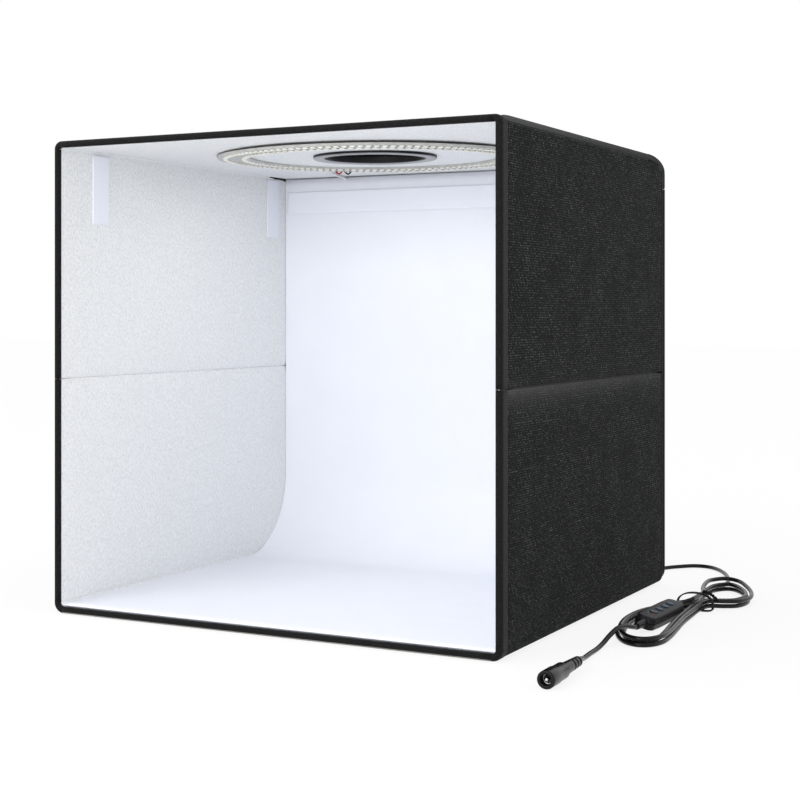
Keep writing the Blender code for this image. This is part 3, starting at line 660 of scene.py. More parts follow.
# The cord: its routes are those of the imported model
cord = {
    "diameter": 0.0028,
    "step": 0.0012,
    "sides": 16,
    "runRoute": (
        (0.1280, 0.1670, 0.0045), (0.1282, 0.1750, 0.0030), (0.1295, 0.1860, 0.0015),
        (0.1365, 0.2070, 0.0014), (0.1440, 0.2190, 0.0014), (0.1530, 0.2280, 0.0014),
        (0.1630, 0.2280, 0.0014), (0.1720, 0.2200, 0.0014), (0.1820, 0.2030, 0.0014),
        (0.1905, 0.1800, 0.0014), (0.1945, 0.1600, 0.0014), (0.1935, 0.1440, 0.0014),
    ),
    "plugRoute": (
        (0.1932, -0.0500, 0.0066), (0.1915, -0.0575, 0.0081), (0.1900, -0.0660, 0.0081),
        (0.1887, -0.0760, 0.0056), (0.1880, -0.0860, 0.0027), (0.1880, -0.0960, 0.0014),
        (0.1888, -0.1110, 0.0014), (0.1906, -0.1260, 0.0020), (0.1930, -0.1390, 0.0042),
    ),
    "loop": (
        (0.1908, 0.1290), (0.1900, 0.1120), (0.1915, 0.0930), (0.1940, 0.0770), (0.1962, 0.0615),
        (0.1893, 0.0475), (0.1824, 0.0330), (0.1772, 0.0170), (0.1753, 0.0000), (0.1763, -0.0200),
        (0.1803, -0.0410), (0.1868, -0.0585), (0.1945, -0.0705), (0.2040, -0.0757), (0.2125, -0.0712),
        (0.2165, -0.0590), (0.2160, -0.0420), (0.2135, -0.0200), (0.2105, 0.0050), (0.2088, 0.0300),
        (0.2088, 0.0470), (0.2110, 0.0600), (0.2190, 0.0670), (0.2260, 0.0760), (0.2285, 0.0920),
        (0.2250, 0.1100), (0.2180, 0.1260), (0.2090, 0.1390), (0.1985, 0.1415),
    ),
    "turns": 3,
    "extraPoints": 4,
    "stepIn": 0.0038,
    "layer": 0.0033,
    "climbs": ((1.569, 0.4), (2.905, 0.13)),
    "lastShift": 0.007,
    "shiftShare": (3.055, 0.15),
    "tieLift": 0.0013,
    "tieReach": 0.014,
    "leadIn": ((0.2005, 0.0528, 0.0076), (0.1981, 0.0484, 0.0068)),
}
# The ring's lead, pressed flat with the fold from just under its highest line
lead = {
    "diameter": 0.002,
    "step": 0.002,
    "up": (0, 1, 0.02),
    "anchorDrop": 0.0005,
    "keep": 0.035,
    "route": (
        (-0.0800, 0.0850, 0.2950), (-0.0870, 0.1080, 0.2948), (-0.0930, 0.1290, 0.2946),
        (-0.0950, 0.1385, 0.2945), (-0.0952, 0.1432, 0.2920), (-0.0945, 0.1438, 0.2850),
        (-0.0850, 0.1438, 0.2550), (-0.0600, 0.1438, 0.2150), (-0.0200, 0.1438, 0.1650),
        (0.0350, 0.1438, 0.1150), (0.0800, 0.1438, 0.0750), (0.1100, 0.1438, 0.0420),
        (0.1235, 0.1438, 0.0200), (0.1275, 0.1436, 0.0085),
    ),
}
# The dimmer's place, its roll about its long side and its heading
dimmer = {
    "place": (0.1999, 0.00135, 0.0003),
    "roll": 14.0,
    "heading": -1.36,
    "length": 0.063,
    "width": 0.0125,
    "axisHeight": 0.004,
    "height": 0.008,
    "bootIn": 0.0085,
    "bootOut": 0.0125,
    "gap": 0.0003,
    "bow": 0.0006,
    "cut": 0.0022,
    "round": 0.0016,
    "outlinePoints": 120,
    "parting": 0.0042,
    "upperLip": ((0.0001, 0.0004), (0.0003, 0.0001)),
    "lowerLip": ((-0.0003, 0), (0, 0.0004)),
    "foot": ((0.0001, 0.0012), (0.0004, 0.0006), (0.0010, 0.0003)),
    "crown": {"rise": 0.0009, "start": 0.0007, "inset": 0.0012, "steps": 7},
    "buttonPitch": 0.0105,
    "buttonShift": 0.001,
}
# The socket: its mouth and heading, and profiles of (radius, distance back from the mouth)
jack = {
    "mouth": (0.196, -0.199),
    "heading": 1.1,
    "head": 0.026,
    "neck": 0.025,
    "radius": 0.0049,
    "outline": (
        (0, 0.009), (0.0028, 0.009), (0.0028, 0.0006), (0.0032, 0), (0.0043, 0), (0.0048, 0.0005),
        (0.0049, 0.0012), (0.0049, 0.0126), (0.0045, 0.013), (0.0045, 0.0248), (0.0040, 0.0257),
        (0.0036, 0.0262),
    ),
    "pin": ((0, 0.0087), (0.001, 0.0087), (0.001, 0.0019), (0.0007, 0.0014), (0, 0.0013)),
    "sleeve": ((0.0027, 0.0042), (0.0027, 0.0086), (0.0024, 0.0086), (0.0024, 0.0042), (0.0027, 0.0042)),
    "sides": {"socket": 48, "pin": 24, "sleeve": 32},
    "softWidth": 0.00025,
    "softAngle": 35.0,
}
# The grommet: its washer's profile, then a ribbed sleeve
gland = {
    "x": 0.128,
    "z": 0.005,
    "washer": ((0, 0), (0.0036, 0), (0.004, 0.0004), (0.004, 0.0013), (0.0036, 0.0017)),
    "sleeveFrom": 0.0018,
    "length": 0.0135,
    "radius": 0.0032,
    "taper": 0.28,
    "groove": 0.0004,
    "sharp": 1.6,
    "shy": 0.0,
    "plain": 0.0,
    "ribs": 4,
    "points": 40,
    "sides": 32,
}
tie = {
    "x": 0.2014,
    "y": 0.0560,
    "z": 0.0042,
    "half": 0.0110,
    "rise": 0.0067,
    "fall": 0.0036,
    "width": 0.004,
    "thick": 0.0008,
    "round": 0.0003,
    "seam": 0.0004,
    "roundness": (2.2, 5.0),
    "points": 96,
}


# Rolled about Y, then turned about Z, then moved: the dimmer's own axes in the tent's frame
def dimmerFrame():
    (cr, sr), (ch, sh) = towards(dimmer["roll"]), towards(dimmer["heading"])
    aboutY = np.array([[cr, 0, sr], [0, 1, 0], [-sr, 0, cr]])
    aboutZ = np.array([[ch, -sh, 0], [sh, ch, 0], [0, 0, 1]])
    return aboutZ @ aboutY, np.array(dimmer["place"])


dimmerAxes, dimmerOrigin = dimmerFrame()


# Points of the dimmer's own frame, in the tent's frame
def onDimmer(points):
    return np.asarray(points, float) @ dimmerAxes.T + dimmerOrigin


# A point on the socket's axis, measured back from its mouth
def jackPoint(back):
    (c, s), (x, y) = towards(jack["heading"]), jack["mouth"]
    return (x - s * back, y + c * back, jack["radius"])


# Smooth step from nothing to one round the middle of a climb of that length, in turns
def climbed(turn, shares):
    share = np.clip((turn - shares[0]) / shares[1] + 0.5, 0, 1)
    return share * share * (3 - 2 * share)


# Each loop is the outermost one moved inwards along its normal, a step a turn, and out a layer higher
def hankPoints():
    loop = np.array(cord["loop"])
    count = len(loop)
    last = cord["turns"] * count + cord["extraPoints"]
    index = np.arange(last + 1)
    before, here, after = (loop[(index + step) % count] for step in (-1, 0, 1))
    run = unit(after - before)
    over = climbed(index / count, cord["shiftShare"])
    shift = cord["stepIn"] * np.minimum(index, last - index) / count * (1 - over) + cord["lastShift"] * over
    plan = here + np.stack([-run[:, 1], run[:, 0]], -1) * shift[:, None]
    climb = sum(climbed(index / count, shares) for shares in cord["climbs"])
    lift = cord["tieLift"] * np.exp(-(((plan[:, 1] - tie["y"]) / cord["tieReach"]) ** 2))
    level = cord["diameter"] / 2 + cord["layer"] * climb + lift
    return np.column_stack([plan, level])


def cordTube(name, path, diameter, replaced, up=(0, 0, 1), body="base", look="rubber"):
    points, uv = tubeGrid(path, diameter / 2, cord["sides"], up)
    piece = gridPiece(name, points, body, look, uv, closed=True)
    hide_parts(*replaced)
    return piece


# From the grommet through the hank to the dimmer, and from the dimmer to the socket
def makeCords():
    thick = cord["diameter"]
    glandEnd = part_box("cord_gland")[1].y
    middle, level = -dimmer["width"] / 2, dimmer["axisHeight"]
    half, gap = dimmer["length"] / 2, dimmer["gap"]
    turns = hankPoints()
    start = np.array([gland["x"], glandEnd + gap, gland["z"]])
    entry = onDimmer((middle, half + 2 * gap + dimmer["bootIn"], level))
    inside = onDimmer((middle, half + gap + dimmer["bootIn"] + thick, level))
    route = [start, start + (0, thick / 2, 0), *cord["runRoute"], *turns[:-1], *cord["leadIn"], inside, entry]
    path = smoothRoute(route, cord["step"])
    mainCord = cordTube("main_cord", path, thick, ("cord_run", "cord_hank"))
    leave = onDimmer((middle, -half - 2 * gap - dimmer["bootOut"], level))
    clear = onDimmer((middle, -half - gap - dimmer["bootOut"] - thick, level))
    tail = jack["head"] + jack["neck"]
    route = [leave, clear, *cord["plugRoute"], jackPoint(tail + thick), jackPoint(tail + gap)]
    plugPath = smoothRoute(route, cord["step"])
    plugCord = cordTube("socket_cord", plugPath, thick, ("plug_cord",))
    return mainCord, path, plugCord, plugPath


def makeRingLead():
    thick, high = lead["diameter"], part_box("ring_lead")[1].z
    reach = (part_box("ring_board")[1].x + dimmer["gap"]) / math.sqrt(2)
    top = high - thick / 2
    route = [(-reach, reach, top), (-reach - thick / 2, reach + thick, top), *lead["route"],
             (gland["x"], tent["wallBack"] - thick, gland["z"] + thick / 2)]
    tube = cordTube("ring_lead_cord", smoothRoute(route, lead["step"]), thick, ("ring_lead",), lead["up"],
                    "top", "lead")
    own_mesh(tube)


mainCord, mainPath, plugCord, plugPath = makeCords()
makeRingLead()
print("cords made:", round(float(along(mainPath)[-1]), 3), round(float(along(plugPath)[-1]), 3), "m")


# Boots, grommet, socket and tie

# A ribbed end tapers by a share of its radius; sharp and shy shape its grooves, which start past plain
boot = {"radius": 0.0028, "taper": 0.26, "groove": 0.0006, "sharp": 1.6, "shy": 0.0, "plain": 0.0,
        "ribs": {"in": 4, "out": 6}, "ribPoints": 8, "sides": 32}
socketNeck = {"radius": 0.0036, "taper": 0.22, "groove": 0.0008, "sharp": 1.8, "shy": 0.4, "plain": 0.38,
              "ribs": 5, "points": 72, "from": 0.0004, "short": 0.0002, "endRadius": 0.0026}


# Radius against distance: a straight taper, less a rounded groove between the ribs
def ribbed(part, ribs, start, stop, points):
    s = np.linspace(0, 1, points)
    wave = np.clip(-np.cos(2 * math.pi * s * ribs) * part["sharp"] - part["shy"], 0, 1)
    radius = part["radius"] * (1 - part["taper"] * s) - part["groove"] * wave * (s > part["plain"])
    return np.stack([radius, start + (stop - start) * s], -1)


def makeBoots():
    made, start = [], dimmer["length"] / 2 + dimmer["gap"]
    for end, sign, length in (("in", 1, dimmer["bootIn"]), ("out", -1, dimmer["bootOut"])):
        ribs = boot["ribs"][end]
        outline = ribbed(boot, ribs, 0, length, ribs * boot["ribPoints"] + 1)
        place = onDimmer((-dimmer["width"] / 2, sign * start, dimmer["axisHeight"]))
        made.append(turnedPiece(f"boot_{end}", np.vstack([[0, 0], outline, [0, length]]), place,
                                dimmerAxes @ (0, sign, 0), boot["sides"], "rubber",
                                replaced=f"dimmer_boot_{end}"))
    return made


# A flanged grommet: a thick washer against the base's edge, then a ribbed tapering sleeve
def makeGland():
    place = (gland["x"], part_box("cord_gland")[0].y, gland["z"])
    sleeve = ribbed(gland, gland["ribs"], gland["sleeveFrom"], gland["length"], gland["points"])
    profile = np.vstack([gland["washer"], sleeve, [0, gland["length"]]])
    return turnedPiece("grommet", profile, place, (0, 1, 0), gland["sides"], "rubber", replaced="cord_gland")


# The socket: a head with a raised front half and a grip step, a ribbed neck, and a blind bore
def makeJack():
    end, sides = jack["head"] + jack["neck"], jack["sides"]
    start, stop = jack["head"] + socketNeck["from"], end - socketNeck["short"]
    neck = ribbed(socketNeck, socketNeck["ribs"], start, stop, socketNeck["points"])
    profile = np.vstack([jack["outline"], neck, [(socketNeck["endRadius"], end), (0, end)]])
    c, s = towards(jack["heading"])
    axis, place = (-s, c, 0), jackPoint(0)
    shell = turnedPiece("socket", profile, place, axis, sides["socket"], "rubber", replaced="jack_body")
    bevel = shell.modifiers.new("soft_edges", "BEVEL")
    bevel.width = jack["softWidth"]
    bevel.segments = 2
    bevel.limit_method = "ANGLE"
    bevel.angle_limit = math.radians(jack["softAngle"])
    bevel.use_clamp_overlap = True
    pin = turnedPiece("socket_pin", jack["pin"], place, axis, sides["pin"], "metal", replaced="jack_pin")
    sleeve = turnedPiece("socket_sleeve", jack["sleeve"], place, axis, sides["sleeve"], "metal")
    return shell, pin, sleeve


# Plan of the tie: |cos|, |sin| to a power each, square under the cords and round over them
def superRing(grow, count):
    turn = np.linspace(0, 2 * math.pi, count + 1)
    c, s = np.cos(turn), np.sin(turn)
    power = np.where(s > 0, 2 / tie["roundness"][0], 2 / tie["roundness"][1])
    height = np.where(s > 0, tie["rise"], tie["fall"]) + grow
    x = tie["x"] + np.sign(c) * np.abs(c) ** power * (tie["half"] + grow)
    z = tie["z"] + np.sign(s) * np.abs(s) ** power * height
    return x, z


# The tie's two ends, wound round each other and then parting
tieTails = {
    "start": (0.0045, 0.0012, 0.0012),
    "run": (0.0085, 0.0045, -0.0062),
    "turns": 3.2,
    "wound": 0.0006,
    "apart": (0.0006, 0.0018, 0.72),
    "radius": 0.0006,
    "points": 70,
    "sides": 8,
}


# Each tail: x and y straight, z falling with the square of the way, wound by a cosine and a sine
def makeTieTails():
    startX, startY, startZ = tieTails["start"]
    runX, runY, runZ = tieTails["run"]
    gap, parting, partFrom = tieTails["apart"]
    s = np.linspace(0, 1, tieTails["points"])
    made = []
    for k, phase in enumerate((0, math.pi)):
        twist = 2 * math.pi * tieTails["turns"] * s + phase
        apart = gap + parting * np.clip(s - partFrom, 0, 1) * (1 if phase else -1)
        x = tie["x"] + startX + runX * s
        y = tie["y"] + startY + runY * s + tieTails["wound"] * np.cos(twist) + apart
        z = tie["z"] + tie["rise"] + startZ + runZ * s ** 2 + tieTails["wound"] * np.sin(twist)
        points, uv = tubeGrid(np.column_stack([x, y, z]), tieTails["radius"], tieTails["sides"])
        made.append(gridPiece(f"tie_tail_{k}", points, None, "tape", uv, closed=True))
    twist = joined("tie_twist", made, "base")
    return twist


# A flat band round the hank's waist, its section a rounded rectangle
def makeTie():
    count, thick, half, seam = tie["points"], tie["thick"], tie["width"] / 2, tie["seam"]
    section = roundedPath([(0, -half + seam), (0, -half), (thick, -half), (thick, half), (0, half),
                           (0, -half + seam)], tie["round"], 4)
    rings = [(*superRing(grow, count), shift) for grow, shift in section]
    points = np.stack([gridOf(x, tie["y"] + shift, z) for x, z, shift in rings], 1)
    uv = gridOf(along(points[:, 0])[:, None], along(section)[None])
    band = gridPiece("tie_band", points, "base", "tape", uv, closed=True)
    twist = makeTieTails()
    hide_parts("twist_tie")
    return band, twist


boots = makeBoots()
grommet = makeGland()
socketPieces = makeJack()
tiePieces = makeTie()
print("boots, grommet, socket and tie made")


# The dimmer: two moulded halves with a parting line, each a bowed outline drawn in towards its edges

# Plan of the case: a rectangle with bowed long sides and cut corners, all rounded
def caseOutline():
    half, width, bow, cut = dimmer["length"] / 2, dimmer["width"] / 2, dimmer["bow"], dimmer["cut"]
    side = [(width - cut, -half), (width, -half + cut), (width + bow, -half / 2), (width + bow, half / 2),
            (width, half - cut), (width - cut, half)]
    loop = side + [(-x, -y) for x, y in side]
    line = roundedPath([(0, -half)] + loop + [(0, -half)], dimmer["round"])
    travel = along(line)
    stops = np.linspace(0, travel[-1], dimmer["outlinePoints"] + 1)
    return np.column_stack([np.interp(stops, travel, line[:, k]) for k in (0, 1)])


# Levels of (height, inset): the outline scaled in by the inset, and closed by its own middle line
def caseHalf(name, nodeName, levels):
    outline = caseOutline()
    half, width = dimmer["length"] / 2, dimmer["width"] / 2
    rows = []
    for height, inset in levels:
        x = outline[:, 0] * (1 - inset / width)
        y = outline[:, 1] * (1 - inset / half)
        rows.append(np.column_stack([x - width, y, np.full(len(x), height)]))
    for end, row in ((0, rows[0]), (len(rows) + 1, rows[-1])):
        spine = np.clip(row[:, 1], -half + width, half - width)
        rows.insert(end, np.column_stack([np.full(len(row), -width), spine, row[:, 2]]))
    piece = gridPiece(name, onDimmer(np.stack(rows)), "base", "case", closed=True)
    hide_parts(nodeName)
    return piece


def makeCase():
    parting, crown = dimmer["parting"], dimmer["crown"]
    turn = np.linspace(0, math.pi / 2, crown["steps"])
    shoulder = [(dimmer["height"] - crown["rise"] + crown["rise"] * math.sin(a),
                 crown["start"] + crown["inset"] * (1 - math.cos(a))) for a in turn]
    upper = [(parting + rise, inset) for rise, inset in dimmer["upperLip"]]
    lower = [(parting + rise, inset) for rise, inset in dimmer["lowerLip"]]
    return [caseHalf("dimmer_top", "dimmer_case_top", upper + shoulder),
            caseHalf("dimmer_bottom", "dimmer_case_bottom", [*dimmer["foot"], *lower])]


# Buttons and signal lamps: profiles of (radius, height over the case); 1 is the blue ring, 2 the middle
button = {
    "profile": (
        (0, -0.0008), (0.0025, -0.0008), (0.0025, 0.0002), (0.0023, 0.0004), (0.0021, 0.0005),
        (0.0019, 0.00048), (0.0013, 0.00044), (0.0011, 0.0005), (0.0007, 0.00052), (0.0003, 0.00054),
        (0, 0.00054),
    ),
    "marks": np.array((0, 0, 0, 0, 0, 1, 0, 0, 2, 2)),
    "names": ("power", "colour", "brighter", "dimmer"),
    "sides": 32,
}
signal = {
    "profile": ((0, -0.0002), (0.0006, -0.0002), (0.0006, 0.0001), (0.0004, 0.00022), (0, 0.00026)),
    "before": 2.05,
    "shifts": (("red", 0.0018), ("green", -0.0018)),
    "sides": 16,
}


# The first button's middle is red and the others' are blue
def makeButtons():
    middle, top, up, made = -dimmer["width"] / 2, dimmer["height"], dimmerAxes @ (0, 0, 1), []
    for order, name in enumerate(button["names"]):
        steps = order - (len(button["names"]) - 1) / 2
        place = onDimmer((middle, dimmer["buttonShift"] + dimmer["buttonPitch"] * steps, top))
        marks = np.minimum(button["marks"], 1) if order else button["marks"]
        made.append(turnedPiece(f"key_{name}", button["profile"], place, up, button["sides"],
                                ("button", "blueMark", "redMark"), f"button_{name}", marks, f"button_{name}"))
    y = dimmer["buttonShift"] - signal["before"] * dimmer["buttonPitch"]
    for name, shift in signal["shifts"]:
        place = onDimmer((middle + shift, y, top))
        made.append(turnedPiece(f"signal_{name}", signal["profile"], place, up, signal["sides"],
                                f"{name}Mark"))
    return made


dimmerPieces = makeCase() + makeButtons()
print("dimmer made")


# Cloth panels: a slightly puffed sheet on each face of each board

puff = {
    "edge": 0.0035,
    "cover": 0.0005,
    "lining": 0.0004,
    "ripple": 0.00012,
    "waves": (61, 47),
    "slowWaves": (23, 31),
    "slowShare": 0.5,
    "count": 60,
}
layerLooks = {"cover": "cloth", "lining": "lining"}


# Rise times (1 - exp(-distance to the nearest edge / reach)), with slow ripples that die at the edges;
# the phase sets one cloth's ripples apart from another's
def puffed(u, v, edges, rise, phase):
    lowU, highU, lowV, highV = edges
    inside = np.minimum(np.minimum(u - lowU, highU - u), np.minimum(v - lowV, highV - v))
    plump = 1 - np.exp(-np.clip(inside, 0, None) / puff["edge"])
    (waveU, waveV), (slowU, slowV) = puff["waves"], puff["slowWaves"]
    ripple = np.sin(u * waveU + phase) * np.sin(v * waveV + 2 * phase)
    ripple = ripple + puff["slowShare"] * np.sin(u * slowU - v * slowV + phase)
    return rise * plump + puff["ripple"] * ripple * plump ** 2


# A puffed sheet in a plane: plane gives the origin, the two directions along it and its outward normal
def flatPanel(name, body, plane, u, v, edges, rise, look, replaced, phase=0.0, wearAndHighlight=None, thick=None,
              area=None, dip=0.0):
    origin, uAxis, vAxis, normal = (np.array(part, float) for part in plane)
    height = puffed(u, v, edges, rise, phase) - dip
    points = origin + u[..., None] * uAxis + v[..., None] * vAxis + height[..., None] * normal
    wornAndHighlit = np.zeros(u.shape) if wearAndHighlight is None else wearAndHighlight
    piece = gridPiece(name, points, body, look, gridOf(u, v), outward=normal, wearAndHighlight=wornAndHighlit,
                      solid=thick or tent["clothThick"])
    if replaced:
        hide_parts(*replaced)
    return piece


# Area of a plane grid: the sum of its quads' half cross products
def gridArea(u, v):
    a = np.stack([u[1:, 1:] - u[:-1, :-1], v[1:, 1:] - v[:-1, :-1]], -1)
    b = np.stack([u[:-1, 1:] - u[1:, :-1], v[:-1, 1:] - v[1:, :-1]], -1)
    return float(np.abs(a[..., 0] * b[..., 1] - a[..., 1] * b[..., 0]).sum() / 2)


# Height of the cloth roll's ellipse at y, drawn in by the inset
def rollHeight(y, inset):
    depth = tent["rollDepth"] - inset
    drop = tent["height"] - tent["hemTop"] - inset
    share = np.clip((y - tent["rollFront"]) / depth, 0, 1)
    return tent["hemTop"] + drop * np.sqrt(1 - share ** 2)


# Walls: margins of their cloth, the slit and the dip at the crease, and how strongly a highlight is painted
# on the outside along the crease
wall = {
    "over": 0.0004,
    "rearShort": 0.0006,
    "underRoll": 0.0038,
    "slit": {"cover": 0.0005, "lining": 0.0003},
    "dip": {"cover": 0.0013, "lining": 0.0008},
    "dipReach": 0.0030,
    "dipPower": 1.5,
    "dipEnds": (0.012, 0.15),
    "wornAndHighlit": {"lower": 0.95, "upper": 0.12},
    "highlightReach": 0.006,
    "highlightRear": 0.45,
    "highlightFade": (0.16, 0.28),
    "phases": (1.3, 0.9, 2.1),
    "boardShort": 0.005,
    "boardInset": 0.001,
    "boardUnderRoll": 0.0005,
    "boardGrid": (40, 12),
}


# The upper wall's top edge: level, then cut down under the roll
def wallTop(y, high):
    return np.minimum(high, rollHeight(y, wall["underRoll"]))


# Painted highlight, strongest at the crease, less to the rear, as exp(-distance / reach)
def creaseHighlight(u, toCrease, level):
    start, length = wall["highlightFade"]
    fade = wall["highlightRear"] + (1 - wall["highlightRear"]) * np.clip((start - u) / length, 0, 1)
    return np.exp(-toCrease / wall["highlightReach"]) * wall["wornAndHighlit"][level] * fade


# Sunk at the crease by exp(-(distance / reach) ^ power), but not at the crease's two ends
def wallDip(u, toCrease, front, rear, layer):
    length, late = wall["dipEnds"]
    dip = wall["dip"][layer] * np.exp(-(toCrease / wall["dipReach"]) ** wall["dipPower"])
    return dip * np.clip(np.minimum(u - front, rear - u) / length - late, 0, 1)


def makeWallCloth(side, hand, level, layer):
    count, slit = puff["count"], wall["slit"][layer]
    inner, upper = layer == "lining", level == "upper"
    low = tent["crease"] + slit if upper else tent["wallLow"] - wall["over"]
    high = tent["wallHigh"] + wall["over"] if upper else tent["crease"] - slit
    front, rear = tent[f"{layer}Front"], tent["wallBack"] - wall["rearShort"]
    depth = tent["panel"] - tent["skin"] if inner else tent["skin"]
    u = edgeStops(front, rear, count)[:, None] + np.zeros((1, count))
    stop = wallTop(u[:, :1], high) if upper else high
    v = low + (stop - low) * edgeStops(0, 1, count)[None] + np.zeros_like(u)
    face, facing = side * (tent["halfWidth"] - depth), -side if inner else side
    plane = ((face, 0, 0), (0, 1, 0), (0, 0, 1), (facing, 0, 0))
    toCrease = np.abs(v - tent["crease"])
    # The outer cloth gets a painted highlight along the crease
    wearAndHighlight = None if inner else creaseHighlight(u, toCrease, level)
    flatPanel(f"{hand}_{level}_{layer}_cloth", f"{hand}_{level}", plane, u, v, (front, rear, low, high),
              puff[layer], layerLooks[layer], [f"{hand}_{level}_{layer}"],
              phase=float(np.dot(wall["phases"], (side, upper, inner))), wearAndHighlight=wearAndHighlight, area=gridArea(u, v),
              dip=wallDip(u, toCrease, front, rear, layer))


# The boards inside the walls: they stop short of the crease, so the cloth can sink in there
def makeWallBoard(side, hand, level):
    nodeName = f"{hand}_{level}_board"
    low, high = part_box(nodeName)
    rows, columns = wall["boardGrid"]
    upper = level == "upper"
    start, stop = (low.z + wall["boardShort"], high.z) if upper else (low.z, high.z - wall["boardShort"])
    y = edgeStops(low.y + wall["boardInset"], high.y - wall["boardInset"], rows)[:, None]
    end = wallTop(y, stop) - wall["boardUnderRoll"] if upper else np.full((rows, 1), stop)
    z = start + (end - start) * np.linspace(0, 1, columns)[None]
    points = gridOf(high.x if side > 0 else low.x, y, z)
    board = gridPiece(f"{nodeName}_panel", points, f"{hand}_{level}", "board", gridOf(y, z),
                      outward=(side, 0, 0), solid=float(high.x - low.x))
    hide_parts(nodeName)


# From a circle to a rectangle: each spoke goes from the circle to where its ray leaves the rectangle
def holedGrid(x0, x1, y0, y1, hole, spokes, rings):
    corners = [math.atan2(y, x) for x, y in ((x1, y0), (x1, y1), (x0, y1), (x0, y0))]
    turn = np.unique(np.concatenate([np.linspace(-math.pi, math.pi, spokes), corners]))
    c, s = np.cos(turn), np.sin(turn)
    reachX = np.where(c > 0, x1, x0) / np.where(np.abs(c) < 1e-9, 1e-9, c)
    reachY = np.where(s > 0, y1, y0) / np.where(np.abs(s) < 1e-9, 1e-9, s)
    reach = np.minimum(np.abs(reachX), np.abs(reachY))
    radius = hole + (reach[:, None] - hole) * edgeStops(0, 1, rings)[None]
    return c[:, None] * radius, s[:, None] * radius


ceiling = {"inset": 0.0049, "hole": 0.034, "spokes": 161, "rings": 40, "rise": 0.0003, "coverOver": 0.0002,
           "liningOver": 0.0045, "phase": 0.4}


def makeTop():
    half, hole = tent["halfWidth"] - ceiling["inset"], ceiling["hole"]
    for layer, rear, z, facing in (
        ("cover", tent["rollFront"] + ceiling["coverOver"], tent["height"] - tent["skin"], 1),
        ("lining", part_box("top_lining")[1].y + ceiling["liningOver"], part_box("top_lining")[0].z, -1),
    ):
        front = tent[f"{layer}Front"]
        u, v = holedGrid(-half, half, front, rear, hole, ceiling["spokes"], ceiling["rings"])
        plane = ((0, 0, z), (1, 0, 0), (0, 1, 0), (0, 0, facing))
        flatPanel(f"top_{layer}_cloth", "top", plane, u, v, (-half, half, front, rear), ceiling["rise"],
                  layerLooks[layer], [f"top_{layer}"], phase=ceiling["phase"] + facing, area=gridArea(u, v))


ground = {"inset": 0.0065, "rearShort": 0.0003, "level": 0.0001, "rise": {"cover": 0.00005, "lining": 0.0001},
          "phase": 0.2}


def makeBase():
    half, rear = tent["halfWidth"] - ground["inset"], tent["wallBack"] - ground["rearShort"]
    for layer, z, facing in (("cover", ground["level"], -1), ("lining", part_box("base_lining")[1].z, 1)):
        edges = (-half, half, tent[f"{layer}Front"], rear)
        u, v = panelGrid(*edges, puff["count"])
        plane = ((0, 0, z), (1, 0, 0), (0, 1, 0), (0, 0, facing))
        flatPanel(f"base_{layer}_cloth", "base", plane, u, v, edges, ground["rise"][layer], layerLooks[layer],
                  [f"base_{layer}"], phase=ground["phase"], area=gridArea(u, v))


# The back's lower edge stands off the ground, is rounded at both corners and notched for the cord
back = {"ground": 0.0025, "corner": 0.006, "notchHalf": 0.008, "notchTop": 0.010, "below": 0.0002,
        "stops": (60, 8, 20), "rise": {"cover": 0.0005, "lining": 0.0001}, "phase": 1.7}
notchSides = (gland["x"] - back["notchHalf"], gland["x"] + back["notchHalf"])


def backLow(x):
    corner = back["corner"]
    side = np.clip(np.abs(x) - (tent["halfWidth"] - corner), 0, corner)
    return back["ground"] + corner - np.sqrt(corner ** 2 - side ** 2)


def makeBack():
    half, high = tent["halfWidth"], tent["hemLow"] - back["below"]
    ends = (-half, *notchSides, half)
    x = np.concatenate([edgeStops(a, b, count) for a, b, count in zip(ends, ends[1:], back["stops"])])
    low = backLow(x)
    low[back["stops"][0]:sum(back["stops"][:2])] = back["notchTop"]
    u = x[:, None] + np.zeros((1, puff["count"]))
    v = low[:, None] + (high - low[:, None]) * edgeStops(0, 1, puff["count"])[None]
    for layer, facing in (("cover", 1), ("lining", -1)):
        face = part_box(f"back_{layer}")[1 if facing > 0 else 0].y
        plane = ((0, face, 0), (1, 0, 0), (0, 0, 1), (0, facing, 0))
        flatPanel(f"back_{layer}_cloth", "back", plane, u, v, (-half, half, back["ground"], high),
                  back["rise"][layer], layerLooks[layer], [f"back_{layer}"], phase=back["phase"] + facing,
                  area=gridArea(u, v))


for side, hand in wallSides:
    for level in ("lower", "upper"):
        for layer in ("cover", "lining"):
            makeWallCloth(side, hand, level, layer)
for side, hand in wallSides:
    for level in ("lower", "upper"):
        makeWallBoard(side, hand, level)
makeTop()
makeBase()
makeBack()
print("cloth panels made")


# Tape and strips that wrap the panels' edges

# A section of (distance in from the edge, depth from the outer face) carried along the edge
def edgeTape(name, body, path, toPanel, across, section, wearAndHighlight=None, thick=None):
    toPanel, across = (np.broadcast_to(np.asarray(part, float), path.shape) for part in (toPanel, across))
    points = path[:, None] + toPanel[:, None] * section[None, :, :1] + across[:, None] * section[None, :, 1:]
    wornAndHighlit = np.zeros(points.shape[:2]) if wearAndHighlight is None else np.broadcast_to(wearAndHighlight, points.shape[:2])
    facing = (-toPanel[:, None] + np.zeros_like(points))[:-1, :-1].reshape(-1, 3)
    uv = gridOf(along(path)[:, None], along(section)[None])
    return gridPiece(name, points, body, "tape", uv, outward=facing, wearAndHighlight=wornAndHighlit,
                     solid=thick or tent["tapeThick"])


# Front tape: the depth of its fold inside, and its painted highlight line on the band; gap parts the two
# halves of a wall
frontTape = {"fold": 0.003, "round": 0.0012, "wornAndHighlit": 0.45, "highlightAt": 0.0052, "highlightReach": 0.0026,
             "gap": 0.0001, "wallStops": 24, "wideStops": 48}


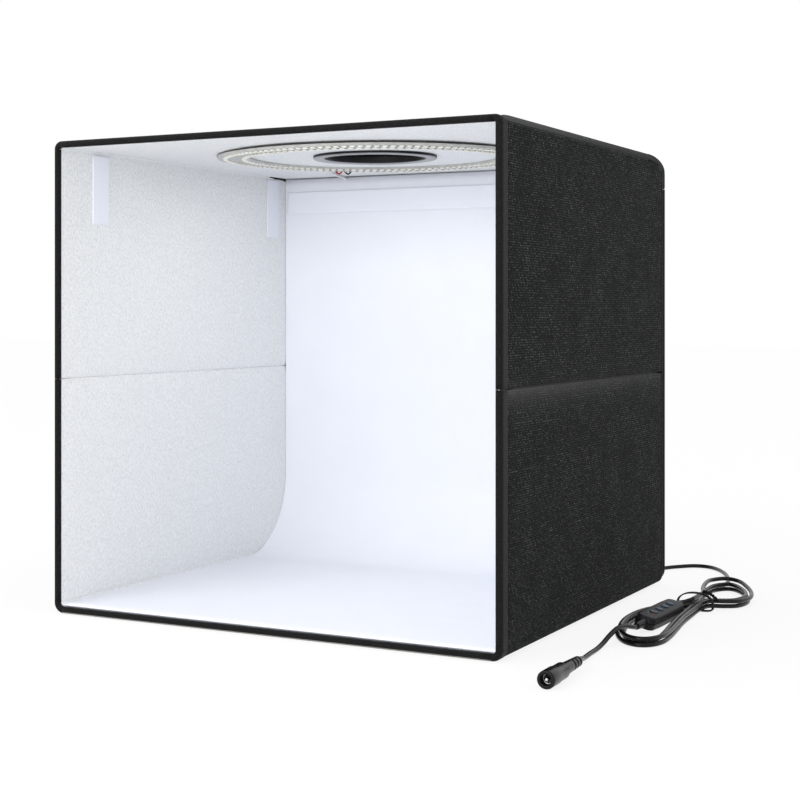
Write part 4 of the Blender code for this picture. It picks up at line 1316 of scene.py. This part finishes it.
# Across the front edge: the band along the outer face, a rounded nose, and the return inside
def frontSection():
    panel, band, fold = tent["panel"], tent["band"], frontTape["fold"]
    corners = [(band, 0.0002), (band - 0.0006, 0), (0.0016, -0.0001), (0, 0.0012), (-0.0001, panel - 0.001),
               (0.0007, panel), (fold, panel), (fold + 0.0003, panel - 0.0003)]
    section = roundedPath(corners, frontTape["round"])
    # A paler line painted on the outer band as a highlight
    wornAndHighlit = frontTape["wornAndHighlit"] * np.exp(-((section[:, 0] - frontTape["highlightAt"]) / frontTape["highlightReach"]) ** 2)
    return section, (wornAndHighlit * (section[:, 1] < panel / 2))[None]


def makeFrontTape():
    section, wornAndHighlit = frontSection()
    half, front, count, gap = tent["halfWidth"], tent["front"], frontTape["wallStops"], frontTape["gap"]
    for side, hand in wallSides:
        for level, start, stop in (("lower", tent["wallLow"], tent["crease"] - gap),
                                   ("upper", tent["crease"] + gap, tent["wallHigh"])):
            path = gridOf(side * half, front, np.linspace(start, stop, count))
            body = f"{hand}_{level}"
            tape = edgeTape(f"{body}_tape", body, path, (0, 1, 0), (-side, 0, 0), section, wornAndHighlit)
            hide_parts(f"{body}_binding")
    for name, z, inward in (("base", 0, 1), ("top", tent["height"], -1)):
        ends = [corner.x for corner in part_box(f"{name}_binding")]
        path = gridOf(np.linspace(*ends, frontTape["wideStops"]), front, z)
        tape = edgeTape(f"{name}_tape", name, path, (0, 1, 0), (0, 0, inward), section, wornAndHighlit)
        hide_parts(f"{name}_binding")


# Corner strips: their radii, how far they run on past the quarter turn, and how the upper ones stand proud
corner = {
    "lower": 0.0065,
    "upper": 0.005,
    "steps": 14,
    "past": 0.06,
    "count": 40,
    "proud": 0.0006,
    "proudAtEnds": 0.6,
    "proudReach": 0.006,
    "lowProud": 0.0003,
    # How much highlight is painted on the upper strips' turn
    "wornAndHighlit": 0.5,
    "liningGap": 0.0001,
}


# How far the outer cloth stands from the strip's radius, by turn and by place along it
def cornerGrow(low, roll, inside):
    if low:
        return corner["lowProud"] * roll[:, None] - tent["skin"] + 0 * inside[None]
    ends = corner["proudAtEnds"]
    bulge = corner["proud"] * (ends + (1 - ends) * (1 - np.exp(-inside / corner["proudReach"])))
    return bulge[None] * roll[:, None] - tent["skin"] * (1 - roll[:, None])


# A quarter turn of padded cloth outside, of lining inside, with the tape carried round its front
def cornerStrip(side, hand, level):
    radius, count = corner[level], corner["count"]
    low = level == "lower"
    centre = np.array([side * (tent["halfWidth"] - radius), 0, radius if low else tent["height"] - radius])
    turn = np.linspace(-corner["past"], math.pi / 2 + corner["past"], corner["steps"])
    out = gridOf(side * np.cos(turn), 0, (-1 if low else 1) * np.sin(turn))
    rear = tent["wallBack"] if low else tent["rollFront"]
    facing = out[:-1, None].repeat(count - 1, 1).reshape(-1, 3)
    y = edgeStops(tent["coverFront"], rear, count)
    roll = np.sin(np.clip(turn, 0, math.pi / 2) * 2)
    grow = cornerGrow(low, roll, np.minimum(y - tent["coverFront"], rear - y))
    outer = centre + out[:, None] * (radius + grow)[..., None] + y[None, :, None] * np.array((0, 1, 0))
    # The upper strips get a painted highlight along the middle of their turn
    wearAndHighlight = (0 if low else corner["wornAndHighlit"]) * roll[:, None] + 0 * y[None]
    cloth = gridPiece(f"corner_{level}_{hand}_cloth", outer, None, "cloth",
                      gridOf(y[None], (turn * radius)[:, None]), outward=facing, wearAndHighlight=wearAndHighlight,
                      solid=tent["clothThick"])
    inside = radius - tent["panel"] + corner["liningGap"]
    y = edgeStops(tent["liningFront"], rear, count)
    inner = centre + out[:, None] * inside + y[None, :, None] * np.array((0, 1, 0))
    lining = gridPiece(f"corner_{level}_{hand}_lining", inner, None, "lining",
                       gridOf(y[None], (turn * inside)[:, None]), outward=-facing, wearAndHighlight=0 * wearAndHighlight,
                       solid=tent["clothThick"])
    section, wornAndHighlit = frontSection()
    path = centre + out * radius + np.array((0, tent["front"], 0))
    tape = edgeTape(f"corner_{level}_{hand}_tape", None, path, (0, 1, 0), -out, section, wornAndHighlit)
    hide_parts(f"corner_{level}_{hand}")
    return cloth, lining, tape


# Lower corners turn from the base to the wall, the upper left one from the wall to the ceiling; these are
# fixed in place, and the upper right one goes with the top
def placeCorner(pieces, hand, level):
    for piece in pieces:
        if level == "lower":
            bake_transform(piece)
        elif hand == "left":
            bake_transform(piece)
        else:
            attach(piece, "top")


makeFrontTape()
for side, hand in wallSides:
    for level in ("lower", "upper"):
        placeCorner(cornerStrip(side, hand, level), hand, level)
print("front tape and corners made")


# Rear tape: on the upper walls it is open inside, where the lining runs out to the cut edge
rearTape = {
    "outside": ((0.0030, 0.0002), (0.0027, 0), (0.0003, 0), (-0.0004, 0.0006)),
    "inside": {"lower": ((-0.0004, -0.0006), (0.0003, 0), (0.0009, 0), (0.0010, -0.0002)),
               "upper": ((-0.0004, -0.0014),)},
    "round": 0.0005,
    "gap": 0.00005,
    "stops": 20,
    "cutFrom": 0.010,
    "cutStops": 60,
    "cutShort": 0.002,
}


# A tape's section: points measured from the outer face, then points measured from the panel's inner face
def wrapped(outside, inside, thick, radius):
    return roundedPath([*outside, *((reach, thick + depth) for reach, depth in inside)], radius, 4)


# The wall's rear edge from the bottom up, and round the cut corner of the upper wall
def rearEdge(level):
    count, rear = rearTape["stops"], tent["wallBack"]
    if level == "lower":
        return np.full(count, rear), np.linspace(tent["wallLow"], tent["crease"] - rearTape["gap"], count)
    edge = np.linspace(tent["rollFront"] + rearTape["cutFrom"], rear, rearTape["cutStops"])
    cut = rollHeight(edge, wall["underRoll"])
    keep = cut < tent["wallHigh"]
    straight = np.linspace(tent["crease"] + rearTape["gap"], cut[-1] - rearTape["cutShort"], count)
    y = np.concatenate([np.full(count, rear), edge[keep][::-1]])
    return y, np.concatenate([straight, cut[keep][::-1]])


# U-shaped tape on each wall's rear edge
def makeRearTape():
    for side, hand in wallSides:
        for level, inside in rearTape["inside"].items():
            section = wrapped(rearTape["outside"], inside, tent["panel"], rearTape["round"])
            path = gridOf(side * tent["halfWidth"], *rearEdge(level))
            toPanel = np.cross(unit(np.gradient(path, axis=0)), (side, 0, 0)) * side
            toPanel *= np.where(toPanel[:, 1:2] > 0, -1, 1)
            edgeTape(f"{hand}_{level}_rear_tape", f"{hand}_{level}", path, toPanel, (-side, 0, 0), section)


# Strips across the creases: (look, depth from the outer face, half width, start behind the front edge)
crease = {
    "outer": ("tape", tent["skin"] + 0.0012, 0.0024, tent["band"]),
    "inner": ("lining", tent["panel"] - tent["skin"] - 0.0011, 0.0016, 0.0034),
    "rearShort": 0.0006,
    "thick": 0.0003,
    "grid": (13, 30),
}


# Cloth that bridges each wall's crease: a thin black valley outside and a fold of lining inside
def makeCreases():
    mid, (rows, columns) = tent["crease"], crease["grid"]
    for side, hand in wallSides:
        for layer in ("outer", "inner"):
            look, depth, reach, front = crease[layer]
            face = side * (tent["halfWidth"] - depth)
            y = np.linspace(tent["front"] + front, tent["wallBack"] - crease["rearShort"], columns)[None]
            z = np.linspace(mid - reach, mid + reach, rows)[:, None]
            piece = gridPiece(f"{hand}_crease_{layer}", gridOf(face, y, z), None, look, gridOf(y, z),
                              outward=(side * (-1 if layer == "inner" else 1), 0, 0),
                              wearAndHighlight=np.zeros((rows, columns)), solid=crease["thick"])
            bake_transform(piece)


makeRearTape()
makeCreases()
print("rear tape and creases made")


# The roll of cloth, the hem and the back panel's bound edge

roll = {
    "stops": 72,
    "steps": 36,
    "under": 0.0006,
    "drop": 0.0002,
    "full": (0.0006, 0.012),
    "slack": (0.00035, 70, 23),
    "tuck": (0.0026, -0.0006, -0.0012),
    "wornAndHighlit": 0.25,
    "thick": 0.0006,
    "hingeBehind": 0.02,
    "liningInset": 0.6,
    "liningUnder": 0.0013,
    "liningStops": 40,
    "liningThick": 0.0004,
}
rollTurn = np.linspace(0, math.pi / 2, roll["steps"])[None]
rollOut = (np.sin(rollTurn), np.cos(rollTurn))


# A quarter ellipse from the ceiling's rear edge down to the hem, fuller in the middle of its width
def rollCurve(x):
    fullness, reach = roll["full"]
    rise, wide, wider = roll["slack"]
    full = fullness * (1 - np.exp(-(tent["halfWidth"] - np.abs(x)) / reach)) * np.sin(2 * rollTurn)
    slack = rise * np.sin(x * wide + 0.6) * np.sin(x * wider) * np.sin(2 * rollTurn)
    y = tent["rollFront"] - roll["under"] + (tent["rollDepth"] + roll["under"] + full + slack) * rollOut[0]
    z = tent["hemTop"] + (tent["height"] - tent["hemTop"] + full + slack) * rollOut[1] - roll["drop"]
    return y, z


# Its ends are tucked in and closed down to the straight line between their first and last point
def makeRoll():
    half, middle = tent["halfWidth"], roll["stops"] // 2
    x = edgeStops(-half, half, roll["stops"])[:, None]
    y, z = rollCurve(x)
    points = gridOf(x, y, z)
    length = along(np.column_stack([y[middle], z[middle]]))
    share = np.linspace(0, 1, roll["steps"])[:, None]
    inwards, *lift = roll["tuck"]
    ends = []
    for side, edge in ((-1, points[0]), (1, points[-1])):
        tucked = edge + (-side * inwards, *lift)
        ends.append([tucked[:1] * (1 - share) + tucked[-1:] * share, tucked])
    points = np.concatenate([ends[0], points, ends[1][::-1]])
    across = np.concatenate([x[:1], x[:1], x, x[-1:], x[-1:]])
    wearAndHighlight = np.broadcast_to(roll["wornAndHighlit"] * np.sin(rollTurn * 2) ** 2, points.shape[:2])
    facing = gridOf(0 * across[:-1], *(part[:, :-1] for part in rollOut)).reshape(-1, 3)
    cloth = gridPiece("roll_cloth", points, None, "cloth", gridOf(across, length[None]), outward=facing,
                      wearAndHighlight=wearAndHighlight, solid=roll["thick"])
    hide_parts("spine_cloth")
    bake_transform(cloth)
    makeRollLining(y[middle], z[middle], length)
    makePipings(y[0], z[0])


# The same curve drawn in by the cloth's depth
def makeRollLining(y, z, length):
    wide, under = tent["halfWidth"] - roll["liningInset"] * tent["panel"], roll["liningUnder"]
    x = edgeStops(-wide, wide, roll["liningStops"])[:, None]
    points = gridOf(x, y - under * rollOut[0], z - under * rollOut[1])
    facing = gridOf(0 * x[:-1], *(-part[:, :-1] for part in rollOut)).reshape(-1, 3)
    lining = gridPiece("roll_lining", points, None, "lining", gridOf(x, length[None]), outward=facing,
                       solid=roll["liningThick"])
    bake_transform(lining)


piping = {"inset": 0.0017, "radius": 0.0021, "start": 0.0045, "short": 0.001, "stops": 60, "sides": 12,
          "thinStart": 0.7, "thinLength": 0.006, "highlightEnd": 0.4, "highlightLength": 0.24}


# A thin tube along the ceiling's side edges and down the roll's ends, with a painted highlight that fades
# towards the back
def makePipings(y, z):
    inset, count = piping["inset"], piping["stops"]
    level = np.linspace(tent["front"] + piping["start"], y[0] - piping["short"], count)
    for side, hand in wallSides:
        x = side * (tent["halfWidth"] - inset)
        bend = gridOf(x, y - inset * rollOut[0][0], z - inset * rollOut[1][0])
        line = np.vstack([gridOf(x, level, z[0] - inset), bend])
        travel = line[:, 1] - line[0, 1]
        thin, dull = piping["thinStart"], 1 - piping["highlightEnd"]
        taper = thin + (1 - thin) * np.clip(travel / piping["thinLength"], 0, 1)
        points, uv = tubeGrid(line, piping["radius"] * taper, piping["sides"], up=(1, 0, 0))
        # Painted highlight, fading towards the back
        fade = np.concatenate([[1], 1 - dull * np.clip(travel / piping["highlightLength"], 0, 1), [1 - dull]])
        tube = gridPiece(f"edge_piping_{hand}", points, None, "cloth", uv, closed=True,
                         wearAndHighlight=fade[:, None] + np.zeros(points.shape[:2]))
        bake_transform(tube)


hem = {"over": 0.0001, "round": 0.0018, "swell": 0.0004, "wornAndHighlit": 0.12, "stops": 60, "liningInset": 0.006,
       "liningBelow": 0.001, "liningShort": 0.002, "liningAhead": 0.0002, "liningRise": 0.0001,
       "liningGrid": (30, 6)}


# A doubled hem: a rounded band the whole width of the back, puffed between its two seams
def makeHem():
    half = tent["halfWidth"]
    front, rear = (end.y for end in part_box("back_hem"))
    low, high = tent["hemLow"] - hem["over"], tent["hemTop"] + hem["over"]
    middle = ((front + rear) / 2, (low + high) / 2)
    ring = roundedPath([(front, middle[1]), (front, high), (rear, high), (rear, low), (front, low),
                        (front, middle[1])], hem["round"], 7)
    x = edgeStops(-half, half, hem["stops"])
    upwards = (ring[:, 1] - low) / (high - low)
    swell = hem["swell"] * np.sin(upwards * math.pi) * np.sign(ring[:, 0] - middle[0])
    points = gridOf(x[:, None], (ring[:, 0] + swell)[None], ring[None, :, 1])
    caps = [np.broadcast_to((end, *middle), points[:1].shape) for end in (-half, half)]
    points = np.concatenate([caps[0], points, caps[1]])
    uv = gridOf(points[..., 0] + points[..., 1], points[..., 2])
    band = gridPiece("hem_band", points, "back", "cloth", uv, closed=True,
                     wearAndHighlight=np.full(points.shape[:2], hem["wornAndHighlit"]))
    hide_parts("back_hem")
    wide, low, high = half - hem["liningInset"], low - hem["liningBelow"], high - hem["liningShort"]
    columns, rows = hem["liningGrid"]
    u, v = np.meshgrid(edgeStops(-wide, wide, columns), np.linspace(low, high, rows), indexing="ij")
    plane = ((0, front - hem["liningAhead"], 0), (1, 0, 0), (0, 0, 1), (0, -1, 0))
    flatPanel("hem_lining", "back", plane, u, v, (-wide, wide, low, high), hem["liningRise"], "lining", None)


backTape = {
    "outside": ((0.0028, -0.0001), (0.0003, -0.0002), (-0.0004, 0.0005)),
    "inside": ((-0.0004, -0.0005), (0.0003, 0.0001), (0.0028, 0)),
    "round": 0.0005,
    "below": 0.0004,
    "cornerRound": 0.0085,
    "notchRound": 0.0016,
    "step": 0.008,
    "thinner": 0.0002,
    "behind": 0.0003,
}


# Tape round the back panel's sides and lower edge, dipping into the notch for the cord
def makeBackEdge():
    half, low, top = tent["halfWidth"], back["ground"], back["notchTop"]
    high, (left, right) = tent["hemLow"] - backTape["below"], notchSides
    outline = [(-half, high), (-half, low), (left, low), (left, top), (right, top), (right, low), (half, low),
               (half, high)]
    line = np.vstack([roundedPath(outline[:3], backTape["cornerRound"], 10)[:-1],
                      roundedPath(outline[1:7], backTape["notchRound"])[1:-1],
                      roundedPath(outline[-3:], backTape["cornerRound"], 10)[1:]])
    steps = [np.linspace(a, b, max(2, int(np.linalg.norm(b - a) / backTape["step"])), endpoint=False)
             for a, b in zip(line, line[1:])]
    line = np.vstack(steps + [line[-1:]])
    run = unit(np.gradient(line, axis=0))
    toPanel = gridOf(-run[:, 1], 0, run[:, 0])
    section = wrapped(backTape["outside"], backTape["inside"], tent["panel"] - backTape["thinner"],
                      backTape["round"])
    path = gridOf(line[:, 0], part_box("back_cover")[1].y + backTape["behind"], line[:, 1])
    edgeTape("back_edge_tape", "back", path, toPanel, (0, -1, 0), section)


makeRoll()
makeHem()
makeBackEdge()
print("roll, hem and back edge made")


# Backdrop sheet, hook strips and window flap

# A thin strip with rounded edges: two faces that meet at the rim, each as high as a quarter circle there
def slab(name, body, low, high, radius, replaced, up, count):
    low, high = np.array(low, float), np.array(high, float)
    middle, half = (low + high) / 2, (high - low) / 2
    gridU, gridV = panelGrid(-1, 1, -1, 1, count)
    first, second = [k for k in range(3) if k != up]
    inside = np.minimum(half[first] * (1 - np.abs(gridU)), half[second] * (1 - np.abs(gridV)))
    share = np.clip(inside / radius, 0, 1)
    rise = half[up] * np.sqrt(1 - (1 - share) ** 2)
    faces = []
    for sign in (1, -1):
        points = np.zeros((count, count, 3))
        points[..., first] = middle[first] + half[first] * gridU
        points[..., second] = middle[second] + half[second] * gridV
        points[..., up] = middle[up] + sign * rise
        uv = gridOf(gridU * half[first], gridV * half[second])
        faces.append(gridPiece(f"{name}_{sign}", points, None, "hooks", uv, outward=sign * np.eye(3)[up],
                               wearAndHighlight=np.zeros(gridU.shape)))
    piece = joined(name, faces)
    cleaned(piece.data, doubles=True, recalculated=False)
    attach(piece, body)
    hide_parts(*replaced)
    return piece


backdrop = {
    "radius": 0.0604,
    "thick": 0.0008,
    "wider": 0.0023,
    "taller": 0.0030,
    "stops": (30, 26, 40),
    "acrossStops": 40,
    "wave": (0.00025, 19, 17, 0.30),
    "stripRound": 0.0008,
    "stripStops": 40,
    "pressed": 0.006,
}


# Flat, then a quarter circle, then upright: one profile of the sheet, carried across its width
def makeBackdrop():
    low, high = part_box("backdrop_sheet")
    thick, inner = backdrop["thick"], backdrop["radius"] - backdrop["thick"]
    flatStops, coveStops, upStops = backdrop["stops"]
    turn = np.linspace(-math.pi / 2, 0, coveStops)
    centreY, centreZ = high.y - backdrop["radius"], low.z + backdrop["radius"]
    flat = gridOf(np.linspace(low.y, centreY, flatStops, endpoint=False), low.z + thick)
    cove = gridOf(centreY + inner * np.cos(turn), centreZ + inner * np.sin(turn))
    upright = gridOf(high.y - thick, np.linspace(centreZ, high.z + backdrop["taller"], upStops + 1)[1:])
    line = np.vstack([flat, cove, upright])
    x = edgeStops(low.x - backdrop["wider"], high.x + backdrop["wider"], backdrop["acrossStops"])[:, None]
    points = gridOf(x, line[None, :, 0], line[None, :, 1])
    travel = along(line)[None]
    normalY = np.concatenate([np.zeros(flatStops), -np.cos(turn), np.full(upStops, -1.0)])
    normalZ = np.concatenate([np.ones(flatStops), -np.sin(turn), np.zeros(upStops)])
    rise, runWave, acrossWave, start = backdrop["wave"]
    wave = rise * np.sin(travel * runWave) * np.sin(x * acrossWave + 0.5) * (travel > start)
    points[..., 1] += wave * normalY
    facing = gridOf(0 * x[:-1], normalY[None, :-1], normalZ[None, :-1]).reshape(-1, 3)
    sheet = gridPiece("backdrop", points, "backdrop", "sheet", gridOf(x, travel), outward=facing, solid=thick)
    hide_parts("backdrop_sheet")
    strip = slab("backdrop_hooks", "backdrop", *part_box("backdrop_hook_strip"), backdrop["stripRound"],
                 ["backdrop_hook_strip"], 1, backdrop["stripStops"])
    for piece in (sheet, strip):
        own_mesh(piece)


hookStrip = {"round": 0.0006, "stops": 24}


def makeHookStrips():
    for _, hand in wallSides:
        for end in ("front", "rear"):
            nodeName = f"hook_strip_{hand}_{end}"
            slab(f"{nodeName}_tape", f"{hand}_upper", *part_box(nodeName), hookStrip["round"], [nodeName], 0,
                 hookStrip["stops"])


flap = {
    "count": 50,
    "phase": 0.9,
    "rise": 0.0005,
    "thick": 0.0008,
    "border": ((0.0060, 0.0001), (0.0004, 0), (-0.0003, 0.0005), (0.0004, 0.0011), (0.0060, 0.0010)),
    "borderRound": 0.0004,
    "borderThick": 0.0003,
    "borderLevel": 0.0006,
    "borderStops": 20,
    "margin": 0.0001,
}


# The flap over the window: a doubled square of cloth with a bound border
def makeFlap():
    low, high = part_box("window_flap")
    margin, level, edges = flap["margin"], high.z + flap["borderLevel"], (low.x, high.x, low.y, high.y)
    plane = ((0, 0, high.z), (1, 0, 0), (0, 1, 0), (0, 0, 1))
    flatPanel("flap_cloth", "window_flap", plane, *panelGrid(*edges, flap["count"]), edges, flap["rise"],
              "cloth", ["window_flap"], phase=flap["phase"], thick=flap["thick"])
    left, right, front, rear = low.x - margin, high.x + margin, low.y - margin, high.y + margin
    ends = np.array([(left, front), (right, front), (right, rear), (left, rear), (left, front)])
    section = roundedPath(flap["border"], flap["borderRound"], 4)
    for k, (a, b) in enumerate(zip(ends, ends[1:])):
        line, run = a + (b - a) * np.linspace(0, 1, flap["borderStops"])[:, None], unit(b - a)
        path = gridOf(line[:, 0], line[:, 1], level)
        edgeTape(f"flap_border_{k}", "window_flap", path, (-run[1], run[0], 0), (0, 0, -1), section,
                 thick=flap["borderThick"])


makeBackdrop()
makeHookStrips()
makeFlap()
print("backdrop, hook strips and flap made")


# The lamp ring and the window rim

ring = {
    "lamps": {"outer": (0.1005, 126), "inner": (0.088, 108)},
    "lamp": (0.0028, 0.0030, 0.0008),
    "resistor": (0.0012, 0.0020, 0.0005),
    "crown": 0.82,
    "shoulder": 0.7,
    "hole": 0.084,
    "chamfer": 0.0002,
    "sides": 144,
    "shadeFrom": -88,
    "shadeTo": 25,
    "sag": 0.0016,
    "sagLean": 0.35,
    "sagReach": 0.106,
}


# The plate hangs a little at the front right: a smooth step over its width in that direction
def ringSag(points):
    lean = ring["sagLean"]
    share = np.clip(((lean * points[..., 0] - points[..., 1]) / ring["sagReach"] + lean) / (1 + lean), 0, 1)
    points[..., 2] -= ring["sag"] * share * share * (3 - 2 * share)
    return points


# One chamfered block copied round a circle: its points are turned by each chip's angle
def chipRow(name, radius, count, size, level, look, replaced=None, shift=0.0):
    x, y, z = size[0] / 2, size[1] / 2, size[2]
    corners = ((-x, -y), (x, -y), (x, y), (-x, y))
    block = np.array([(a * grow, b * grow, -z * depth) for grow, depth in (
        (1, 0), (1, ring["shoulder"]), (ring["crown"], 1)) for a, b in corners])
    turn = 2 * math.pi * (np.arange(count) + shift) / count
    c, s = np.cos(turn)[:, None], np.sin(turn)[:, None]
    radial, sideways = radius + block[None, :, 1], block[None, :, 0]
    points = ringSag(gridOf(radial * c - sideways * s, radial * s + sideways * c, level + block[None, :, 2]))
    quads = [(0, 1, 2, 3), (8, 11, 10, 9)]
    for start in (0, 4):
        quads += [(start + k, start + 4 + k, start + 4 + (k + 1) % 4, start + (k + 1) % 4) for k in range(4)]
    faces = (np.array(quads)[None] + len(block) * np.arange(count)[:, None, None]).reshape(-1, 4)
    mesh = bpy.data.meshes.new(name)
    mesh.from_pydata(points.reshape(-1, 3).tolist(), [], faces.tolist())
    mesh.materials.append(looks[look])
    cleaned(mesh, doubles=False, recalculated=True)
    piece = bpy.data.objects.new(name, mesh)
    bpy.context.scene.collection.objects.link(piece)
    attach(piece, "top")
    if replaced:
        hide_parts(replaced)
    return piece


# The plate is a turned rectangle; its outer wall is painted black at the front right as the shade of the gap
# under the hanging plate
def makeRing():
    low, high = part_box("ring_board")
    level, inner, outer, cut, sides = low.z, ring["hole"], high.x, ring["chamfer"], ring["sides"]
    profile = [(inner, high.z), (inner, level + cut), (inner + cut, level), (outer - cut, level),
               (outer, level + cut), (outer, high.z), (inner, high.z)]
    points, uv = turnedGrid(profile, (0, 0, 0), (0, 0, 1), sides)
    patches = np.zeros((len(profile) - 1, sides), int)
    turn = (np.arange(sides) * 360 / sides + 180) % 360 - 180
    # Painted shade on the outer wall at the front right
    patches[4] = (turn > ring["shadeFrom"]) & (turn < ring["shadeTo"])
    plate = gridPiece("ring_plate", ringSag(points), "top", ("ring", "blackAndShade"), uv, closed=True,
                      patches=patches)
    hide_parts("ring_board")
    for name, (radius, count) in ring["lamps"].items():
        chipRow(f"lamps_{name}", radius, count, ring["lamp"], level, "lamp", f"led_track_{name}")
        chipRow(f"resistors_{name}", radius, count, ring["resistor"], level, "resistor", shift=0.5)
    makeSolder(level)
    makeScrews(level)


solder = {
    "radius": 0.0945,
    "wires": (("red", 131.0, "redWire"), ("black", 127.0, "rubber")),
    "wireStart": 0.0002,
    "wireReach": 0.006,
    "wireHang": 0.0022,
    "wireLean": (0.3, 0.6),
    "wireRadius": 0.0006,
    "wireStops": 24,
    "sides": {"wire": 8, "bead": 20, "screw": 24},
    "bead": ((0, 0.0003), (0.0013, 0.0003), (0.0012, -0.0003), (0.0008, -0.0008), (0, -0.001)),
    "screws": (205.0, 325.0, 85.0),
    "screw": ((0, 0.0003), (0.0024, 0.0003), (0.0024, -0.0002), (0.0019, -0.0006), (0.0008, -0.0007),
              (0.0007, -0.0003), (0, -0.0003)),
    "screwHoleShade": (0, 0, 0, 0, 1, 1),
}


# Two solder beads, each with a short wire that runs to the left and hangs in half a sine
def makeSolder(level):
    s = np.linspace(0, 1, solder["wireStops"])[:, None]
    sides, (leanX, leanY) = solder["sides"], solder["wireLean"]
    for name, angle, look in solder["wires"]:
        c, t = towards(angle)
        start = np.array([solder["radius"] * c, solder["radius"] * t, level - solder["wireStart"]])
        away = np.array([c * leanX - 1.0, t * leanY, 0]) * solder["wireReach"]
        line = start + away * s + np.array((0, 0, -solder["wireHang"])) * np.sin(s * math.pi)
        points, uv = tubeGrid(line, solder["wireRadius"], sides["wire"])
        gridPiece(f"wire_{name}", points, "top", look, uv, closed=True)
        turnedPiece(f"solder_{name}", solder["bead"], start, (0, 0, 1), sides["bead"], "solder", "top")


# Screw heads: a bright ring round a hole painted black as shade
def makeScrews(level):
    for k, angle in enumerate(solder["screws"]):
        c, t = towards(angle)
        place = ringSag(np.array((solder["radius"] * c, solder["radius"] * t, level)))
        turnedPiece(f"ring_screw_{k}", solder["screw"], place, (0, 0, 1), solder["sides"]["screw"],
                    ("solder", "blackAndShade"), "top", solder["screwHoleShade"])


rim = {"top": 0.0006, "hole": 0.034, "chamfer": 0.0006, "edge": 0.0005, "lip": 0.0012, "throat": 0.0002,
       "throatBack": 0.0004, "sides": 96, "black": (1, 1, 0, 0, 0, 1, 1, 1, 1, 1)}


# The window's moulded black rim: black outer wall, a flat grey underside painted as a highlight on it, and a
# black throat up to the flap
def makeRim():
    low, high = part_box("window_rim")
    top, hole, outer, cut = tent["height"] - rim["top"], rim["hole"], high.x, rim["chamfer"]
    throat, behind = hole - rim["throat"], hole + rim["throatBack"]
    profile = [(outer - cut, high.z), (outer, high.z), (outer, low.z + cut), (outer - rim["edge"], low.z),
               (hole + rim["lip"], low.z), (hole + rim["throat"], low.z + cut), (throat, low.z + 2 * cut),
               (throat, top), (behind, top), (behind, high.z), (outer - cut, high.z)]
    turnedPiece("rim_moulding", profile, (0, 0, 0), (0, 0, 1), rim["sides"], ("rim", "blackAndShade"), "top",
                rim["black"], "window_rim")


makeRing()
makeRim()
for name in ("base_board", "top_board", "back_board"):
    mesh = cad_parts[name].data
    mesh.materials.clear()
    mesh.materials.append(looks["board"])
print("lamp ring and window rim made")


# Stage: a pale floor, soft light all round and a soft key from the upper left

stage = {"sky": 1.0, "floor": (0.92, 0.92, 0.92), "floorRoughness": 0.8, "glow": 0.85, "reach": 8.0,
         "level": -0.0003}
# Each lamp's place, aim, size and power
lamps = {
    "key": ((-0.6, -1.2, 1.2), (0, 0, 0.15), 0.8, 7.2),
    "front": ((0.12, -1.4, 0.35), (-0.03, 0.1, 0.15), 0.5, 5.6),
    "inside": ((0, -0.01, 0.288), (0, 0, 0), 0.17, 0.12),
}


def areaLight(name, place, aim, size, power):
    data = bpy.data.lights.new(name, "AREA")
    data.shape = "RECTANGLE"
    data.size = data.size_y = size
    data.energy = power
    lamp = bpy.data.objects.new(name, data)
    lamp.location = place
    lamp.rotation_euler = (Vector(aim) - Vector(place)).to_track_quat("-Z", "Y").to_euler()
    bpy.context.scene.collection.objects.link(lamp)
    return lamp


# Where the camera, glass or metal sees the floor, it glows white; its diffuse part keeps the shadow
def makeFloorMaterial():
    material = bpy.data.materials.new("floor")
    material.use_nodes = True
    tree = material.node_tree
    shader = tree.nodes["Principled BSDF"]
    shader.inputs["Base Color"].default_value = (*stage["floor"], 1)
    shader.inputs["Roughness"].default_value = stage["floorRoughness"]
    path = tree.nodes.new("ShaderNodeLightPath")
    seen = maths(material, "MAXIMUM", path.outputs["Is Camera Ray"], path.outputs["Is Glossy Ray"])
    seen = maths(material, "MAXIMUM", seen, path.outputs["Is Transmission Ray"])
    glow = node(material, "ShaderNodeEmission", Strength=1.0)
    blend = node(material, "ShaderNodeMixShader", Fac=maths(material, "MULTIPLY", seen, stage["glow"]),
                 i1=shader.outputs[0], i2=glow.outputs[0])
    tree.links.new(blend.outputs[0], tree.nodes["Material Output"].inputs["Surface"])
    return material


def makeStage():
    world = bpy.data.worlds.new("studio")
    world.use_nodes = True
    bpy.context.scene.world = world
    world.node_tree.nodes["Background"].inputs["Color"].default_value = (1, 1, 1, 1)
    world.node_tree.nodes["Background"].inputs["Strength"].default_value = stage["sky"]
    mesh = bpy.data.meshes.new("floor")
    reach, level = stage["reach"], stage["level"]
    mesh.from_pydata([(-reach, -reach, level), (reach, -reach, level), (reach, reach, level),
                      (-reach, reach, level)], [], [(0, 1, 2, 3)])
    mesh.materials.append(makeFloorMaterial())
    floor = bpy.data.objects.new("floor", mesh)
    bpy.context.scene.collection.objects.link(floor)
    made = {name: areaLight(name, *values) for name, values in lamps.items()}
    made["inside"].visible_camera = False
    made["inside"].visible_glossy = False
    bpy.context.scene.view_settings.view_transform = "Standard"


makeStage()
print("stage made")
